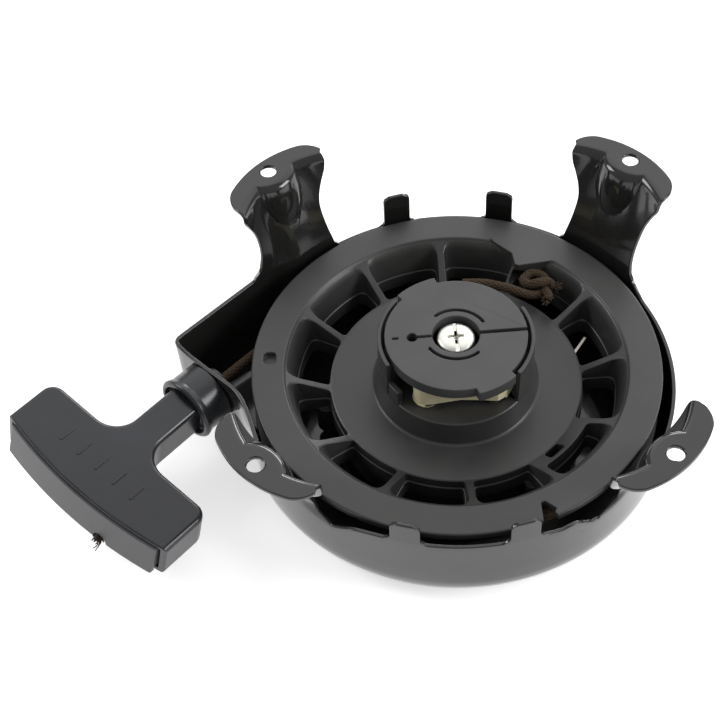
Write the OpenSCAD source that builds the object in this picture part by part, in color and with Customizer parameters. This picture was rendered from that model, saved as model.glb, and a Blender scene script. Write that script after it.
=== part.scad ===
// Recoil starter of a small petrol engine, lying on its closed side with the engine side up.
// The origin is the centre of the four bolt holes, on the face that meets the engine.
// X runs along the front and back pairs of ears, and the rope leaves to the left and front.

/* [Housing] */
// Distance between neighbouring bolt holes, which stand on a square
bolt_spacing = 127; // [126:0.5:129]
// Diameter of each bolt hole
bolt_hole_d = 5.6; // [5:0.1:6.5]
// Thickness of the pressed steel sheet
sheet = 1.4; // [1.2:0.1:1.6]
// Outside radius of the dish wall
dish_r = 74.6; // [74.6:0.1:76]
// Height from the closed face to the mounting face
total_depth = 65.8; // [65.8:0.2:68]
// Outside radius of the bend between the dish wall and its floor
dish_bend_r = 13; // [9:1:14]
// Height of the four rim tabs above the pulley's face
tab_rise = 9.4; // [6:0.2:10]

/* [Pulley] */
// Distance from the mounting face down to the pulley's face
pulley_depth = 31.8; // [31.4:0.1:32]
// Outside radius of the rope pulley
pulley_r = 70; // [69.5:0.1:70.4]
// Inside radius of the pulley's flat outer ring
ring_inner_r = 58.8; // [58:0.2:59.2]
// Outside radius of the pulley's web, which is also the spring cup
web_r = 42; // [41.8:0.1:42.4]
// Number of spokes
spoke_count = 12; // [10:1:12]
// Angle of the first spoke from the X axis
pulley_turn = 3.5; // [0:0.5:7]

/* [Rope] */
// Rope diameter
rope_d = 3.8; // [3.5:0.1:4]
// Radius of the rope's outer layer, where the rope leaves the pulley
rope_r = 62; // [61.8:0.1:62.2]
// Direction in which the rope is pulled
pull_angle = 226; // [225:0.5:227]
// Distance from the pulley's face down to the rope's centre line
rope_drop = 12; // [11.8:0.1:12.2]

/* [Handle] */
// Length of the handle's bar
bar_length = 72.6; // [70:0.2:76]
// Height of the handle
handle_h = 15.8; // [15:0.2:16.4]

/* [Friction disc and pawls] */
// Radius of the friction disc
disc_r = 24; // [23.8:0.1:24.2]
// Radius of the two lobes on the disc
lobe_r = 26.4; // [26:0.1:26.5]
// Thickness of the friction disc
disc_t = 4.4; // [4.2:0.1:4.6]
// Angle that the disc turns back on the pulley while the pawls swing out
disc_travel = 35; // [30:1:36]
// Angle that each pawl swings out
pawl_travel = 25; // [20:1:26]

/* [Hidden] */
$fn = 96;
eps = 0.02;

// Heights, from the mounting face down
face_z = -pulley_depth;          // pulley's ring face, and the floor of its hub
floor_z = -total_depth;          // closed face that the starter rests on
inner_floor_z = floor_z + sheet;
rope_z = face_z - rope_drop;

// Housing rim heights
rim_front_z = face_z - 0.5;
rim_back_z = face_z - 5;
rim_side_z = face_z - 6.5;
tab_top_z = face_z + tab_rise;
tab_angle = 14.7;                // from the front or back to the middle of a tab
tab_half = 3.8;                  // half of a tab's angle

// Ears
ear_hole_u = bolt_spacing / sqrt(2);      // bolt hole's distance from the axis
ear_out_u = ear_hole_u + 5.5;             // outer edge of the crescent flange
ear_bend_u = ear_hole_u - 0.8;            // outside of the leg at the flange
leg_axis_u = 30;                          // axis of the flared tube that the leg is cut from
ear_arc_r = ear_bend_u - leg_axis_u;      // tube's outside radius at the flange
leg_low_r = dish_r + 0.25 - leg_axis_u;   // and at its foot
ear_half = 20;                            // half width of the flange
leg_foot_z = face_z - 4;
leg_waist_out = 16.8;                     // leg's half width on the side of the X axis
leg_waist_back = 12;                      // and on the back side, towards the Y axis
leg_waist_front = 7;                      // and on the front side
dimple_r = 7.2;                           // hollow pressed in under the bolt hole
dimple_depth = 19;
dimple_lean = 10;                         // how far the hollow leans out over its depth

// Rope outlet: a flat wall square to the rope, with a straight wall back to the dish
wall_s = 59;                              // flat wall's outside, along the rope's direction
outlet_d = 78;                            // straight wall's distance from the axis
outlet_rim_z = face_z - 0.3;
outlet_waist_s = 14;                      // where the straight wall turns in to the dish
outlet_floor_z = floor_z + 4;
bush_hole_r = 6.2;

// Pulley
flange_t = 2.8;
groove_w = 12.6;
groove_r = rope_r - 1.25 * rope_d;        // floor of the groove, under two nested layers of rope
drum_wall = 2.3;
web_z = face_z - 9;
web_t = 2.5;
spoke_z = face_z - 5;
spoke_w = 2.6;
flange2_z = face_z - flange_t - groove_w; // top of the lower flange
pulley_low_z = flange2_z - 2.5;
cup_low_z = face_z - 27;
cup_wall = 2.5;
hub_r = 26.6;
hub_root_r = 28;
hub_wall = 1.5;
hub_top_z = face_z + 14.5;
lug_top_z = face_z + 5.5;
hub_post_r = 11;
hub_post_z = face_z + 7.6;
bore_r = 6.55;
arc_start = 136.5;                        // hub wall's start, from the first spoke
arc_span = 68;
boss_r = 45.2;                            // ring of the three cover screws
boss_d = 7;
cover_t = 1.5;
pawl_hole_r = 2.45;

// Post and its stack
post_base_r = 14;
post_base_t = 2;
arbor_r = 9;
pin_r = 6.5;
washer_t = 0.8;
sleeve_low_z = web_z - web_t;             // underside of the pulley on the post
pin_top_z = face_z + 7.8;
screw_r = 3;
disc_top_z = face_z + 15.3;
disc_low_z = disc_top_z - disc_t;
recess_r = 8;
recess_z = face_z + 10.4;
head_r = 6.2;
head_top_z = face_z + 13.6;
head_low_z = recess_z + 0.8;
sleeve_r = 4.55;

// Recoil spring
spring_low_z = cup_low_z + 3.5;
spring_h = 11;
spring_inner_r = arbor_r + 1.2;
spring_outer_r = web_r - cup_wall - 1;
spring_turns = 9;
spring_end_a = 12;                        // where the spring leaves the cup, from the first spoke
strip_t = 0.9;

// Pawls, in the pulley's own frame
pawl_pivot = [-11.5, -14.5];
pawl_boss_r = 4.2;
pawl_low_z = face_z + 0.15;
pawl_top_z = disc_low_z - 0.4;
drive_pin = [-1, -15.3];
drive_pin_r = 1.4;
drive_pin_top_z = disc_low_z + 2.4;
drive_slot_z = disc_low_z + 2.8;

// Handle, along the rope's direction
bush_end_s = 71;
bush_r = 11;
socket_depth = 2.6;
stem_start_s = 69.6;
stem_w = 12.6;
bar_in_s = 98;
bar_end_s = 118.2;                        // outer corner of the bar
bar_bow = 4.2;                            // how far the bar's outer edge bows out
cap_out = 1.6;                            // and how far the cap stands past it at half its height
cap_lean = 7;                             // the cap's face leans out towards the bottom
cap_lip = 1.6;                            // body's edge that shows above the cap
handle_tilt = [-11.3, -4, 4.2];           // how the handle sits in the bush: rolled, lifted and turned
tilt_s = 69.5;                            // where it starts to tilt, along the rope's direction
handle_wall = 2.2;
rope_hole_r = rope_d / 2 + 0.5;
knot_s = 109;
tail_end = [124.6, 13.2, -7.4];           // where the rope's end shows under the cap

function polar(r, a) = [r * cos(a), r * sin(a)];
function arc(c, r, a0, a1, n) = [for (i = [0 : n]) c + polar(r, a0 + (a1 - a0) * i / n)];
function turned(p, a) = [p.x * cos(a) - p.y * sin(a), p.x * sin(a) + p.y * cos(a)];

// Places a child that is drawn along +X so that it lies on the rope's line
module on_rope() {
  rotate([0, 0, pull_angle]) translate([0, -rope_r, rope_z]) children();
}

// The same for the handle, which sits a little askew in the bush
module on_handle() {
  on_rope() translate([tilt_s, 0, 0]) rotate(handle_tilt) translate([-tilt_s, 0, 0]) children();
}

// A ring or part of a ring with a rectangular section
module ring(r0, r1, z0, z1, a0 = 0, span = 360) {
  rotate([0, 0, a0])
    rotate_extrude(angle = span) translate([r0, z0]) square([r1 - r0, z1 - z0]);
}

// A cylinder between two heights
module rod(r, z0, z1) {
  translate([0, 0, z0]) cylinder(r = r, h = z1 - z0);
}

// ---------- Housing ----------

// Half section of the dish, from the axis out to the rim
function dish_section(r, low, top, bend) = concat(
  [[0, low]],
  arc([r - bend, low + bend], bend, -90, 0, 8),
  [[r, top], [0, top]]
);

module dish_solid(inset, top) {
  rotate_extrude()
    polygon(dish_section(dish_r - inset, floor_z + inset, top, dish_bend_r - inset));
}

// Plan of the rope outlet's outside, drawn in the rope's frame with the dish axis at the origin
function outlet_corner(inset) =
  let (a = 135 - pull_angle, s = wall_s - inset)
  [s, (outlet_d - inset - s * cos(a)) / sin(a)];

function outlet_plan(inset) =
  let (c = outlet_corner(inset), r = 4 - inset)
  concat(
    [[0, 0], [wall_s - inset, -44]],
    arc([c.x - r, c.y + r], r, 0, -90, 4),
    [[outlet_waist_s, inset - outlet_d], [outlet_waist_s - 10, inset - outlet_d + 5]]
  );

module outlet_solid(inset, low, top) {
  translate([0, 0, low]) linear_extrude(top - low)
    rotate([0, 0, pull_angle]) polygon(outlet_plan(inset));
}

// Flange of one ear, seen from above with the dish axis to the left
function ear_flange_plan() =
  let (out_r = 38, c = [ear_out_u - out_r, 0], in_c = [leg_axis_u, 0], in_r = ear_arc_r - sheet - 0.3,
       tip = [ear_out_u - 7, ear_half - 3.4], tip_r = 3.2)
  concat(
    arc(c, out_r, -27, 27, 8),
    arc(tip, tip_r, 40, 165, 4),
    arc(in_c, in_r, 16.5, 6, 3),
    [[ear_hole_u - 5.6, 3], [ear_hole_u - 5.6, -3]],
    arc(in_c, in_r, -6, -16.5, 3),
    arc([tip.x, -tip.y], tip_r, -165, -40, 4)
  );

// Outline of a leg seen along its radius, from its narrow waist out to the flange
function leg_outline(left, right) =
  let (foot = leg_foot_z, waist = 0.56 * leg_foot_z, tip = ear_half - 0.8)
  [
    [-left, foot], [right, foot], [right, waist], [0.6 * right + 6.4, 0.36 * foot],
    [tip - 0.5, 0.22 * foot], [tip + 0.6, 0.1 * foot], [tip, 0],
    [-tip, 0], [-tip - 0.6, 0.1 * foot], [0.5 - tip, 0.22 * foot],
    [-0.6 * left - 6.4, 0.36 * foot], [-left, waist]
  ];

// A leg is cut from a flared tube that stands between the dish axis and the ear
module leg(left, right) {
  intersection() {
    translate([leg_axis_u, 0, 0]) rotate([0, 0, -60]) rotate_extrude(angle = 120)
      polygon([
        [leg_low_r - sheet, leg_foot_z], [leg_low_r, leg_foot_z], [leg_low_r, face_z],
        [ear_arc_r, -sheet / 2], [ear_arc_r - sheet, -sheet / 2], [leg_low_r - sheet, face_z]
      ]);
    translate([leg_axis_u + 25, 0, 0]) rotate([90, 0, 90]) linear_extrude(50)
      polygon(leg_outline(left, right));
  }
}

// The hollow pressed into a leg to make room for the bolt
module dimple(inset) {
  lean = atan(dimple_lean / dimple_depth);
  translate([ear_hole_u + 1.5 - dimple_lean, 0, -dimple_depth]) rotate([0, lean, 0])
    cylinder(r1 = 0.6, r2 = dimple_r - inset, h = dimple_depth / cos(lean));
}

module ear(angle, left, right) {
  rotate([0, 0, angle]) difference() {
    union() {
      translate([0, 0, -sheet]) linear_extrude(sheet) polygon(ear_flange_plan());
      leg(left, right);
      intersection() {
        dimple(0);
        translate([leg_axis_u, 0, -dimple_depth])
          cylinder(r1 = ear_arc_r - 9.2, r2 = ear_arc_r - 0.9, h = dimple_depth - sheet / 2);
      }
    }
    intersection() {
      dimple(sheet);
      translate([leg_axis_u, -10, -2 * dimple_depth]) cube([80, 20, 2 * dimple_depth - sheet]);
    }
    translate([ear_hole_u, 0, -3 * sheet]) cylinder(d = bolt_hole_d, h = 4 * sheet);
  }
}

// Everything above a height, between two angles
module sector_above(a0, a1, z) {
  mid = (a0 + a1) / 2;
  translate([0, 0, z]) linear_extrude(total_depth)
    polygon([[0, 0], polar(100, a0), polar(140, mid), polar(100, a1)]);
}

// The dish with its rim cut to height, leaving four tabs standing at the front and back
module dish() {
  side_end = 32;
  ear_end = 58;
  difference() {
    dish_solid(0, tab_top_z);
    sector_above(-side_end, side_end, rim_side_z);
    sector_above(180 - side_end, 180 + side_end, rim_side_z);
    for (a = [side_end, 180 - ear_end, 180 + side_end, 360 - ear_end])
      sector_above(a, a + ear_end - side_end, face_z - 1);
    for (side = [[90, rim_back_z], [-90, rim_front_z]]) {
      sector_above(side[0] - tab_angle + tab_half, side[0] + tab_angle - tab_half, side[1]);
      for (hand = [-1, 1])
        sector_above(side[0] + hand * (tab_angle + tab_half), side[0] + hand * (90 - ear_end), side[1]);
    }
  }
}

module housing() {
  color("#17181a") difference() {
    union() {
      dish();
      outlet_solid(0, outlet_floor_z, outlet_rim_z);
      ear(45, leg_waist_out, leg_waist_back);
      ear(135, leg_waist_back, leg_waist_out);
      ear(225, leg_waist_out, leg_waist_front);
      ear(315, leg_waist_front, leg_waist_out);
    }
    dish_solid(sheet, tab_top_z + 1);
    outlet_solid(sheet, outlet_floor_z + sheet, outlet_rim_z + 1);
    rod(pin_r + 0.03, floor_z - 1, inner_floor_z + 1);
    on_rope() translate([wall_s - 6, 0, 0]) rotate([0, 90, 0]) cylinder(r = bush_hole_r, h = 12);
  }
}

// ---------- Centre post ----------

// Steel post, riveted to the housing's floor, that the pulley turns on
module centre_post() {
  color("silver") difference() {
    union() {
      rod(pin_r, floor_z + 0.2, inner_floor_z + 1);
      rod(post_base_r, inner_floor_z, inner_floor_z + post_base_t);
      rod(arbor_r, inner_floor_z + post_base_t - eps, sleeve_low_z - washer_t);
      rod(pin_r, sleeve_low_z - washer_t - eps, pin_top_z);
    }
    rod(screw_r, face_z - 8, pin_top_z + 1);
    translate([arbor_r - 3, -1, spring_low_z - 0.5]) cube([4, 2, spring_h + 1]);
  }
}

module thrust_washer() {
  color("silver") difference() {
    rod(arbor_r - 0.3, sleeve_low_z - washer_t, sleeve_low_z);
    rod(pin_r + 0.1, sleeve_low_z - 2, sleeve_low_z + 1);
  }
}

// ---------- Pulley ----------

// Window between two spokes, from r0 to r1, with the spokes' sides kept parallel
module window(r0, r1, z0, z1, side) {
  step = 360 / spoke_count;
  intersection() {
    ring(r0, r1, z0, z1, 0, step);
    translate([0, side / 2, z0]) cube([r1, r1, z1 - z0]);
    rotate([0, 0, step]) translate([0, -r1 - side / 2, z0]) cube([r1, r1, z1 - z0]);
  }
}

// Rope anchor: a gusset of the ring's top that reaches in to the spoke before the knot's pocket
module rope_gusset() {
  pts = [
    polar(60, 74), polar(55.2, 63.3), polar(50.5, 60.3), polar(50.3, 58), polar(58.9, 48), polar(62, 60)
  ];
  difference() {
    translate([0, 0, flange2_z]) linear_extrude(face_z - flange2_z) polygon(pts);
    ring(groove_r - 0.5, pulley_r, flange2_z - 1, face_z - flange_t + 0.4);
  }
}

module pulley_body() {
  // Hub, web and spring cup
  rotate_extrude() polygon(concat(
    [[bore_r, sleeve_low_z], [web_r - cup_wall, sleeve_low_z]],
    [[web_r - cup_wall, cup_low_z], [web_r, cup_low_z],
     [web_r, web_z]],
    [[hub_root_r + 1, web_z]],
    [[hub_root_r, web_z + 1], [hub_r, face_z], [hub_post_r, face_z]],
    [[hub_post_r, hub_post_z], [bore_r, hub_post_z]]
  ));
  // Grooved rim
  rotate_extrude() polygon([
    [groove_r - drum_wall, pulley_low_z], [pulley_r, pulley_low_z], [pulley_r, flange2_z], [groove_r, flange2_z],
    [groove_r, face_z - flange_t], [pulley_r, face_z - flange_t], [pulley_r, face_z], [ring_inner_r, face_z],
    [ring_inner_r - 2.4, face_z - 1.2], [groove_r - drum_wall, spoke_z + 0.7]
  ]);
  // Spokes
  for (i = [1 : spoke_count])
    rotate([0, 0, i * 360 / spoke_count])
      translate([web_r - 1, -spoke_w / 2, pulley_low_z])
        cube([groove_r - web_r - 1, spoke_w, spoke_z - pulley_low_z]);
  // Ledge around the foot of each window
  difference() {
    ring(web_r - 0.5, groove_r - 1, pulley_low_z, pulley_low_z + 2.5);
    for (i = [1 : spoke_count])
      rotate([0, 0, i * 360 / spoke_count])
        window(web_r + 2, groove_r - drum_wall - 2, pulley_low_z - 1, pulley_low_z + 4, spoke_w + 5);
  }
  rope_gusset();
  // Wider part of the web, round the slot beside the spring cup
  ring(web_r - 1, web_r + 5.5, web_z - web_t, web_z, -60, 30);
  // Bosses for the cover screws
  for (i = [0 : 2])
    rotate([0, 0, 60 + i * 120]) translate([boss_r, 0, 0]) rod(boss_d / 2, cup_low_z, pulley_low_z + 1);
  // Hub walls that shield the pawls, and the low lugs behind the pivots
  for (i = [0, 1]) {
    ring(hub_r - hub_wall, hub_r - 0.1, face_z - 0.5, hub_top_z, arc_start + 180 * i, arc_span);
    ring(hub_r - 2.4, hub_r - 0.3, face_z - 0.5, lug_top_z, arc_start + arc_span - 1 + 180 * i, 14);
  }
}

module pulley() {
  color("#26272a") rotate([0, 0, pulley_turn]) difference() {
    pulley_body();
    // Holes for the pawls' stubs
    for (i = [0, 1])
      rotate([0, 0, 180 * i]) translate([pawl_pivot.x, pawl_pivot.y, 0])
        rod(pawl_hole_r, face_z - 3.4, face_z + 1);
    // Slot for the spring's end, and the slit where it leaves the cup
    rotate([0, 0, -50]) translate([web_r + 1, -3, web_z - web_t - 1]) cube([3.2, 6, web_t + 2]);
    rotate([0, 0, 12]) translate([web_r - 4, -1.2, spring_low_z - 0.5]) cube([6, 2.4, spring_h + 1]);
    // Notch and blind hole in the ring's face
    translate([0, 0, face_z - flange_t - 1]) linear_extrude(flange_t + 2)
      polygon([polar(63.3, -67.7), polar(63.3, -68.9), polar(71, -71), polar(71, -65.2)]);
    rotate([0, 0, 172.5]) translate([61.6, -2, face_z - 2]) cube([4.4, 4, 3]);
    // Rope hole through the gusset
    rotate([0, 0, 58]) translate([48, 0, face_z - 5.2]) rotate([0, 90, 0])
      cylinder(r = rope_d / 2 + 0.3, h = 14);
    // Screw holes
    for (i = [0 : 2])
      rotate([0, 0, 60 + i * 120]) translate([boss_r, 0, 0]) rod(1.25, cup_low_z - 1, cup_low_z + 7);
  }
}

// ---------- Recoil spring and its cover ----------

function spiral_r(t) = spring_inner_r + (spring_outer_r - spring_inner_r) * t;
function spiral(shift, n) =
  [for (i = [0 : n]) polar(spiral_r(i / n) + shift, 360 * spring_turns * (i / n - 1) + spring_end_a)];
function reversed(v) = [for (i = [len(v) - 1 : -1 : 0]) v[i]];

// Flat spiral: the inner end curls round the post, and the outer end leaves the cup for its anchor
module recoil_spring() {
  n = spring_turns * 24;
  a = spring_end_a;
  color("#8b8a7c") rotate([0, 0, pulley_turn]) translate([0, 0, spring_low_z]) linear_extrude(spring_h) {
    polygon(concat(spiral(strip_t / 2, n), reversed(spiral(-strip_t / 2, n))));
    rotate([0, 0, a]) translate([spring_outer_r - 0.5, -strip_t / 2]) square([4.2, strip_t]);
    translate(polar(web_r + 0.6, a)) rotate([0, 0, a + 42]) translate([-0.5, -strip_t / 2])
      square([11, strip_t]);
  }
}

module spring_cover() {
  low = cup_low_z - cover_t;
  color("#1d1e20") rotate([0, 0, pulley_turn]) difference() {
    union() {
      rod(web_r, low, cup_low_z);
      for (i = [0 : 2])
        rotate([0, 0, 60 + i * 120]) {
          translate([boss_r, 0, 0]) rod(boss_d / 2, low, cup_low_z);
          translate([web_r - 3, -boss_d / 2, low]) cube([boss_r - web_r + 3, boss_d, cover_t]);
        }
    }
    rod(arbor_r + 2, low - 1, cup_low_z + 1);
    for (i = [0 : 2])
      rotate([0, 0, 60 + i * 120]) translate([boss_r, 0, 0]) rod(1.6, low - 1, cup_low_z + 1);
  }
}

module cover_screws() {
  low = cup_low_z - cover_t;
  color("silver") rotate([0, 0, pulley_turn]) for (i = [0 : 2])
    rotate([0, 0, 60 + i * 120]) translate([boss_r, 0, 0]) {
      rod(2.7, low - 1.5, low);
      rod(1.2, low - eps, cup_low_z + 6);
    }
}

// ---------- Rope ----------

// Two layers wound in the groove, as one ring with a fluted outside
module rope_coil() {
  r = rope_d / 2;
  top = face_z - flange_t - 0.35;
  color("#3a2f27") difference() {
    union() {
      ring(groove_r + 0.15, rope_r, top - 3 * rope_d, top);
      for (i = [0 : 2])
        rotate_extrude() translate([rope_r - eps, top - r - i * rope_d]) circle(r = r - 0.02, $fn = 32);
    }
    rod(groove_r + 0.15, top - 20, top + 5);
  }
}

// Knot in the pulley's pocket, with its short tail lying over the spoke
module rope_knot() {
  r = rope_d / 2;
  z = face_z - 4.2;
  color("#4a3a2e") rotate([0, 0, pulley_turn]) {
    translate([31.5, 36.5, z - 1.2]) rotate_extrude() translate([2.6, 0]) circle(r = r, $fn = 32);
    translate([33.2, 33.2, z - 0.2]) sphere(r = 3.2);
    translate([30.4, 31.8, face_z - 2.9]) rotate([0, 0, 168]) rotate([0, 90, 0]) cylinder(r = r, h = 28);
  }
}

// Straight run from beside the pulley, through the bush, to the knot in the handle
module rope_run() {
  color("#3a2f27") {
    on_rope() along(23.5, tilt_s, rope_d / 2);
    on_rope() translate([tilt_s, 0, 0]) sphere(r = rope_d / 2 + 0.1);
    on_handle() along(tilt_s, knot_s - 4.15, rope_d / 2);
  }
}

// ---------- Rope bush ----------

module along(s0, s1, r) {
  translate([s0, 0, 0]) rotate([0, 90, 0]) cylinder(r = r, h = s1 - s0);
}

// A cylinder from the handle's knot to the place where the rope's end shows
module along_tail(r) {
  way = tail_end - [knot_s, 0, 0];
  translate([knot_s, 0, 0]) rotate([0, -asin(way.z / norm(way)), atan2(way.y, way.x)]) rotate([0, 90, 0])
    cylinder(r = r, h = norm(way));
}

// Guide bush with the socket that the handle's stem rests in
module rope_bush() {
  color("#1f2023") on_rope() difference() {
    union() {
      along(wall_s, bush_end_s, bush_r);
      along(wall_s - 5, wall_s + 1, bush_hole_r - 0.05);
      along(bush_end_s - 2.4, bush_end_s, bush_r + 0.9);
    }
    along(wall_s - 8, bush_end_s + 1, rope_hole_r);
    along(bush_end_s - socket_depth, bush_end_s + 1, bush_r - 1);
  }
}

// Spring ring that holds the bush from inside the wall
module bush_clip() {
  color("silver") on_rope() difference() {
    along(wall_s - sheet - 0.9, wall_s - sheet - 0.1, bush_hole_r + 2.6);
    along(wall_s - 8, wall_s + 1, bush_hole_r + 0.02);
  }
}

// ---------- Pawls ----------

// Outline of a pawl: round pivot end on the left, thick hooked end on the right
function pawl_plan() = concat(
  arc(pawl_pivot, pawl_boss_r, 75, 275, 12),
  [[0, -17.6], [7, -18.4], [11.9, -19.2], [14.6, -17.8], [17.8, -13.1]],
  [[17.2, -11.6], [12, -12.2], [4, -12.9], [-4, -12.4]]
);

module pawl() {
  color("#d9d3ae") rotate([0, 0, pulley_turn]) {
    translate([0, 0, pawl_low_z]) linear_extrude(pawl_top_z - pawl_low_z) polygon(pawl_plan());
    translate([pawl_pivot.x, pawl_pivot.y, 0]) rod(pawl_hole_r - 0.05, face_z - 3, pawl_low_z + eps);
    translate([drive_pin.x, drive_pin.y, 0]) rod(drive_pin_r, pawl_top_z - eps, drive_pin_top_z);
  }
}

module pawl_front() {
  pawl();
}

module pawl_back() {
  rotate([0, 0, 180]) pawl();
}

// ---------- Friction disc and the stack on the post ----------

// Where the drive pin stands in the disc's own frame when the disc has turned back by a share of its travel
function pin_in_disc(share) =
  turned(pawl_pivot + turned(drive_pin - pawl_pivot, -pawl_travel * share), disc_travel * share);

module drive_slot() {
  n = 6;
  for (i = [0 : n]) {
    p = pin_in_disc(i / n);
    translate([p.x, p.y, 0]) rod(drive_pin_r + 0.35, disc_low_z - 1, drive_slot_z);
  }
  for (i = [0 : n - 1]) {
    p = pin_in_disc(i / n);
    q = pin_in_disc((i + 1) / n);
    translate([p.x, p.y, disc_low_z - 1]) rotate([0, 0, atan2(q.y - p.y, q.x - p.x)])
      translate([0, -drive_pin_r - 0.3, 0])
        cube([norm(q - p), 2 * drive_pin_r + 0.6, drive_slot_z - disc_low_z + 1]);
  }
}

// Thin slot along an arc, with round ends
module arc_slot(r, w, a0, span) {
  ring(r - w / 2, r + w / 2, disc_low_z - 3, disc_top_z + 1, a0, span);
  for (a = [a0, a0 + span])
    rotate([0, 0, a]) translate([r, 0, 0]) rod(w / 2 + 0.06, disc_low_z - 3, disc_top_z + 1);
}

module friction_disc() {
  color("#33343a") rotate([0, 0, pulley_turn]) difference() {
    union() {
      rod(disc_r, disc_low_z, disc_top_z);
      for (a = [-79, 101])
        ring(disc_r - 1, lobe_r, disc_low_z, disc_top_z, a, 32);
      rod(recess_r + 1.6, face_z + 9, disc_low_z + eps);
    }
    rod(recess_r, recess_z, disc_top_z + 1);
    rod(sleeve_r + 0.05, face_z + 8, recess_z + 1);
    // Radial slot to the edge, and the shorter one that ends in a round hole
    translate([recess_r - 1, -0.7, disc_low_z - 3]) cube([disc_r, 1.4, disc_t + 4]);
    translate([-14.8, -0.5, disc_low_z - 3]) cube([8, 1, disc_t + 4]);
    translate([-14.8, 0, 0]) rod(1.8, disc_low_z - 3, disc_top_z + 1);
    translate([-21.6, -0.45, disc_top_z - 1]) cube([2.3, 0.9, 2]);
    arc_slot(10.7, 1.1, 27, 97);
    arc_slot(10.7, 1.1, 209, 97);
    for (i = [0, 1])
      rotate([0, 0, 180 * i]) drive_slot();
  }
}

module washer(r0, r1, z0, z1, c) {
  color(c) ring(r0, r1, z0, z1);
}

// Keeps the pulley on the post
module retaining_washer() {
  washer(screw_r + 0.1, 9.4, pin_top_z, pin_top_z + 0.6, "silver");
}

// Shallow spring washer that presses the disc up against the screw's head
module friction_spring() {
  washer(sleeve_r + 0.4, 8.6, pin_top_z + 0.62, pin_top_z + 1.18, "gray");
}

// Distance sleeve that the disc turns on
module disc_sleeve() {
  washer(screw_r + 0.05, sleeve_r, pin_top_z + 0.6, recess_z + 0.15, "gray");
}

module lock_washer() {
  washer(screw_r + 0.1, 5.4, recess_z + 0.15, head_low_z, "silver");
}

module centre_screw() {
  color("#d8d8d2") difference() {
    union() {
      rotate_extrude() polygon(concat(
        [[0, head_low_z], [head_r, head_low_z], [head_r, head_top_z - 1.1]],
        arc([head_r - 1.1, head_top_z - 1.1], 1.1, 0, 90, 4),
        [[0, head_top_z]]
      ));
      rod(screw_r - 0.05, face_z - 6, head_low_z + eps);
    }
    // Cross recess, and the slot across the head
    for (a = [0, 90])
      rotate([0, 0, a]) translate([-2.6, -0.55, head_top_z - 1.6]) cube([5.2, 1.1, 2]);
    translate([-0.65, -head_r, head_top_z - 0.8]) cube([1.3, 2 * head_r, 2]);
  }
}

// ---------- Handle ----------

// Half width of the bar, bowed outer edge as an arc through its two outer corners
function bow_radius(half, rise) = (half * half + rise * rise) / (2 * rise);

function handle_plan() =
  let (half = bar_length / 2, r = bow_radius(half, bar_bow), a = asin(half / r),
       c = [bar_end_s + bar_bow - r, 0],
       f = 8, w = stem_w / 2, k = 3.5)
  concat(
    [[stem_start_s, -w]],
    arc([bar_in_s - f, -w - f], f, 90, 0, 8),
    arc([bar_in_s + k, k - half], k, 180, 270, 6),
    arc(c, r, -a, a, 16),
    arc([bar_in_s + k, half - k], k, 90, 180, 6),
    arc([bar_in_s - f, w + f], f, 0, -90, 8),
    [[stem_start_s, w]]
  );

module handle_body() {
  half = bar_length / 2 - handle_wall;
  pocket_s = bar_end_s - 6;
  color("#2b2c31") on_handle() difference() {
    translate([0, 0, -handle_h / 2]) linear_extrude(handle_h) polygon(handle_plan());
    // Stem's end rests in the round socket
    difference() {
      translate([stem_start_s - 1, -10, -10]) cube([socket_depth + 0.8, 20, 20]);
      along(stem_start_s - 2, bush_end_s + 3, bush_r - 1.6);
    }
    along(stem_start_s - 1, bar_end_s, rope_hole_r);
    translate([pocket_s, -half, handle_wall - handle_h / 2]) cube([20, 2 * half, handle_h - 2 * handle_wall]);
    along(knot_s - 5.2, pocket_s + 1, 4.6);
    along_tail(rope_hole_r);
  }
}

// Cap that fills the bar's outer side: a plug inside the bar, and a bowed face
// that leans out towards the bottom
module handle_cap() {
  half = bar_length / 2 - handle_wall - 0.5;
  r = bow_radius(bar_length / 2, bar_bow);
  low = 0.2 - handle_h / 2;
  color("#303137") on_handle() difference() {
    intersection() {
      translate([bar_end_s - 4, -half, low]) cube([30, 2 * half, handle_h - cap_lip - 0.2]);
      translate([bar_end_s + bar_bow + cap_out - r / cos(cap_lean), 0, 0]) rotate([0, -cap_lean, 0])
        cylinder(r = r, h = 60, center = true, $fn = 200);
      union() {
        translate([bar_end_s - 5, -half, handle_wall + 0.3 - handle_h / 2])
          cube([40, 2 * half, handle_h - 2 * handle_wall - 0.6]);
        difference() {
          translate([bar_end_s - 5, -half - 1, low - 1]) cube([40, 2 * half + 2, handle_h]);
          translate([bar_end_s + bar_bow - r, 0, -10]) cylinder(r = r + 0.3, h = 20, $fn = 200);
        }
      }
    }
    along_tail(rope_hole_r);
  }
}

// Steel washer that the rope's knot pulls against
module handle_washer() {
  color("silver") on_handle() difference() {
    along(knot_s - 5.15, knot_s - 4.15, 4.5);
    along(knot_s - 6, knot_s - 3, rope_hole_r - 0.3);
  }
}

// Stopper knot in the handle, with the rope's end showing under the cap
module handle_knot() {
  color("#3a2f27") on_handle() {
    translate([knot_s - 0.2, 0, 0]) sphere(r = 3.9);
    along_tail(rope_d / 2);
  }
}

housing();
centre_post();
rope_bush();
bush_clip();
pulley();
thrust_washer();
recoil_spring();
spring_cover();
cover_screws();
rope_coil();
rope_knot();
rope_run();
pawl_front();
pawl_back();
friction_disc();
friction_spring();
retaining_washer();
disc_sleeve();
lock_washer();
centre_screw();
handle_body();
handle_cap();
handle_washer();
handle_knot();
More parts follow.
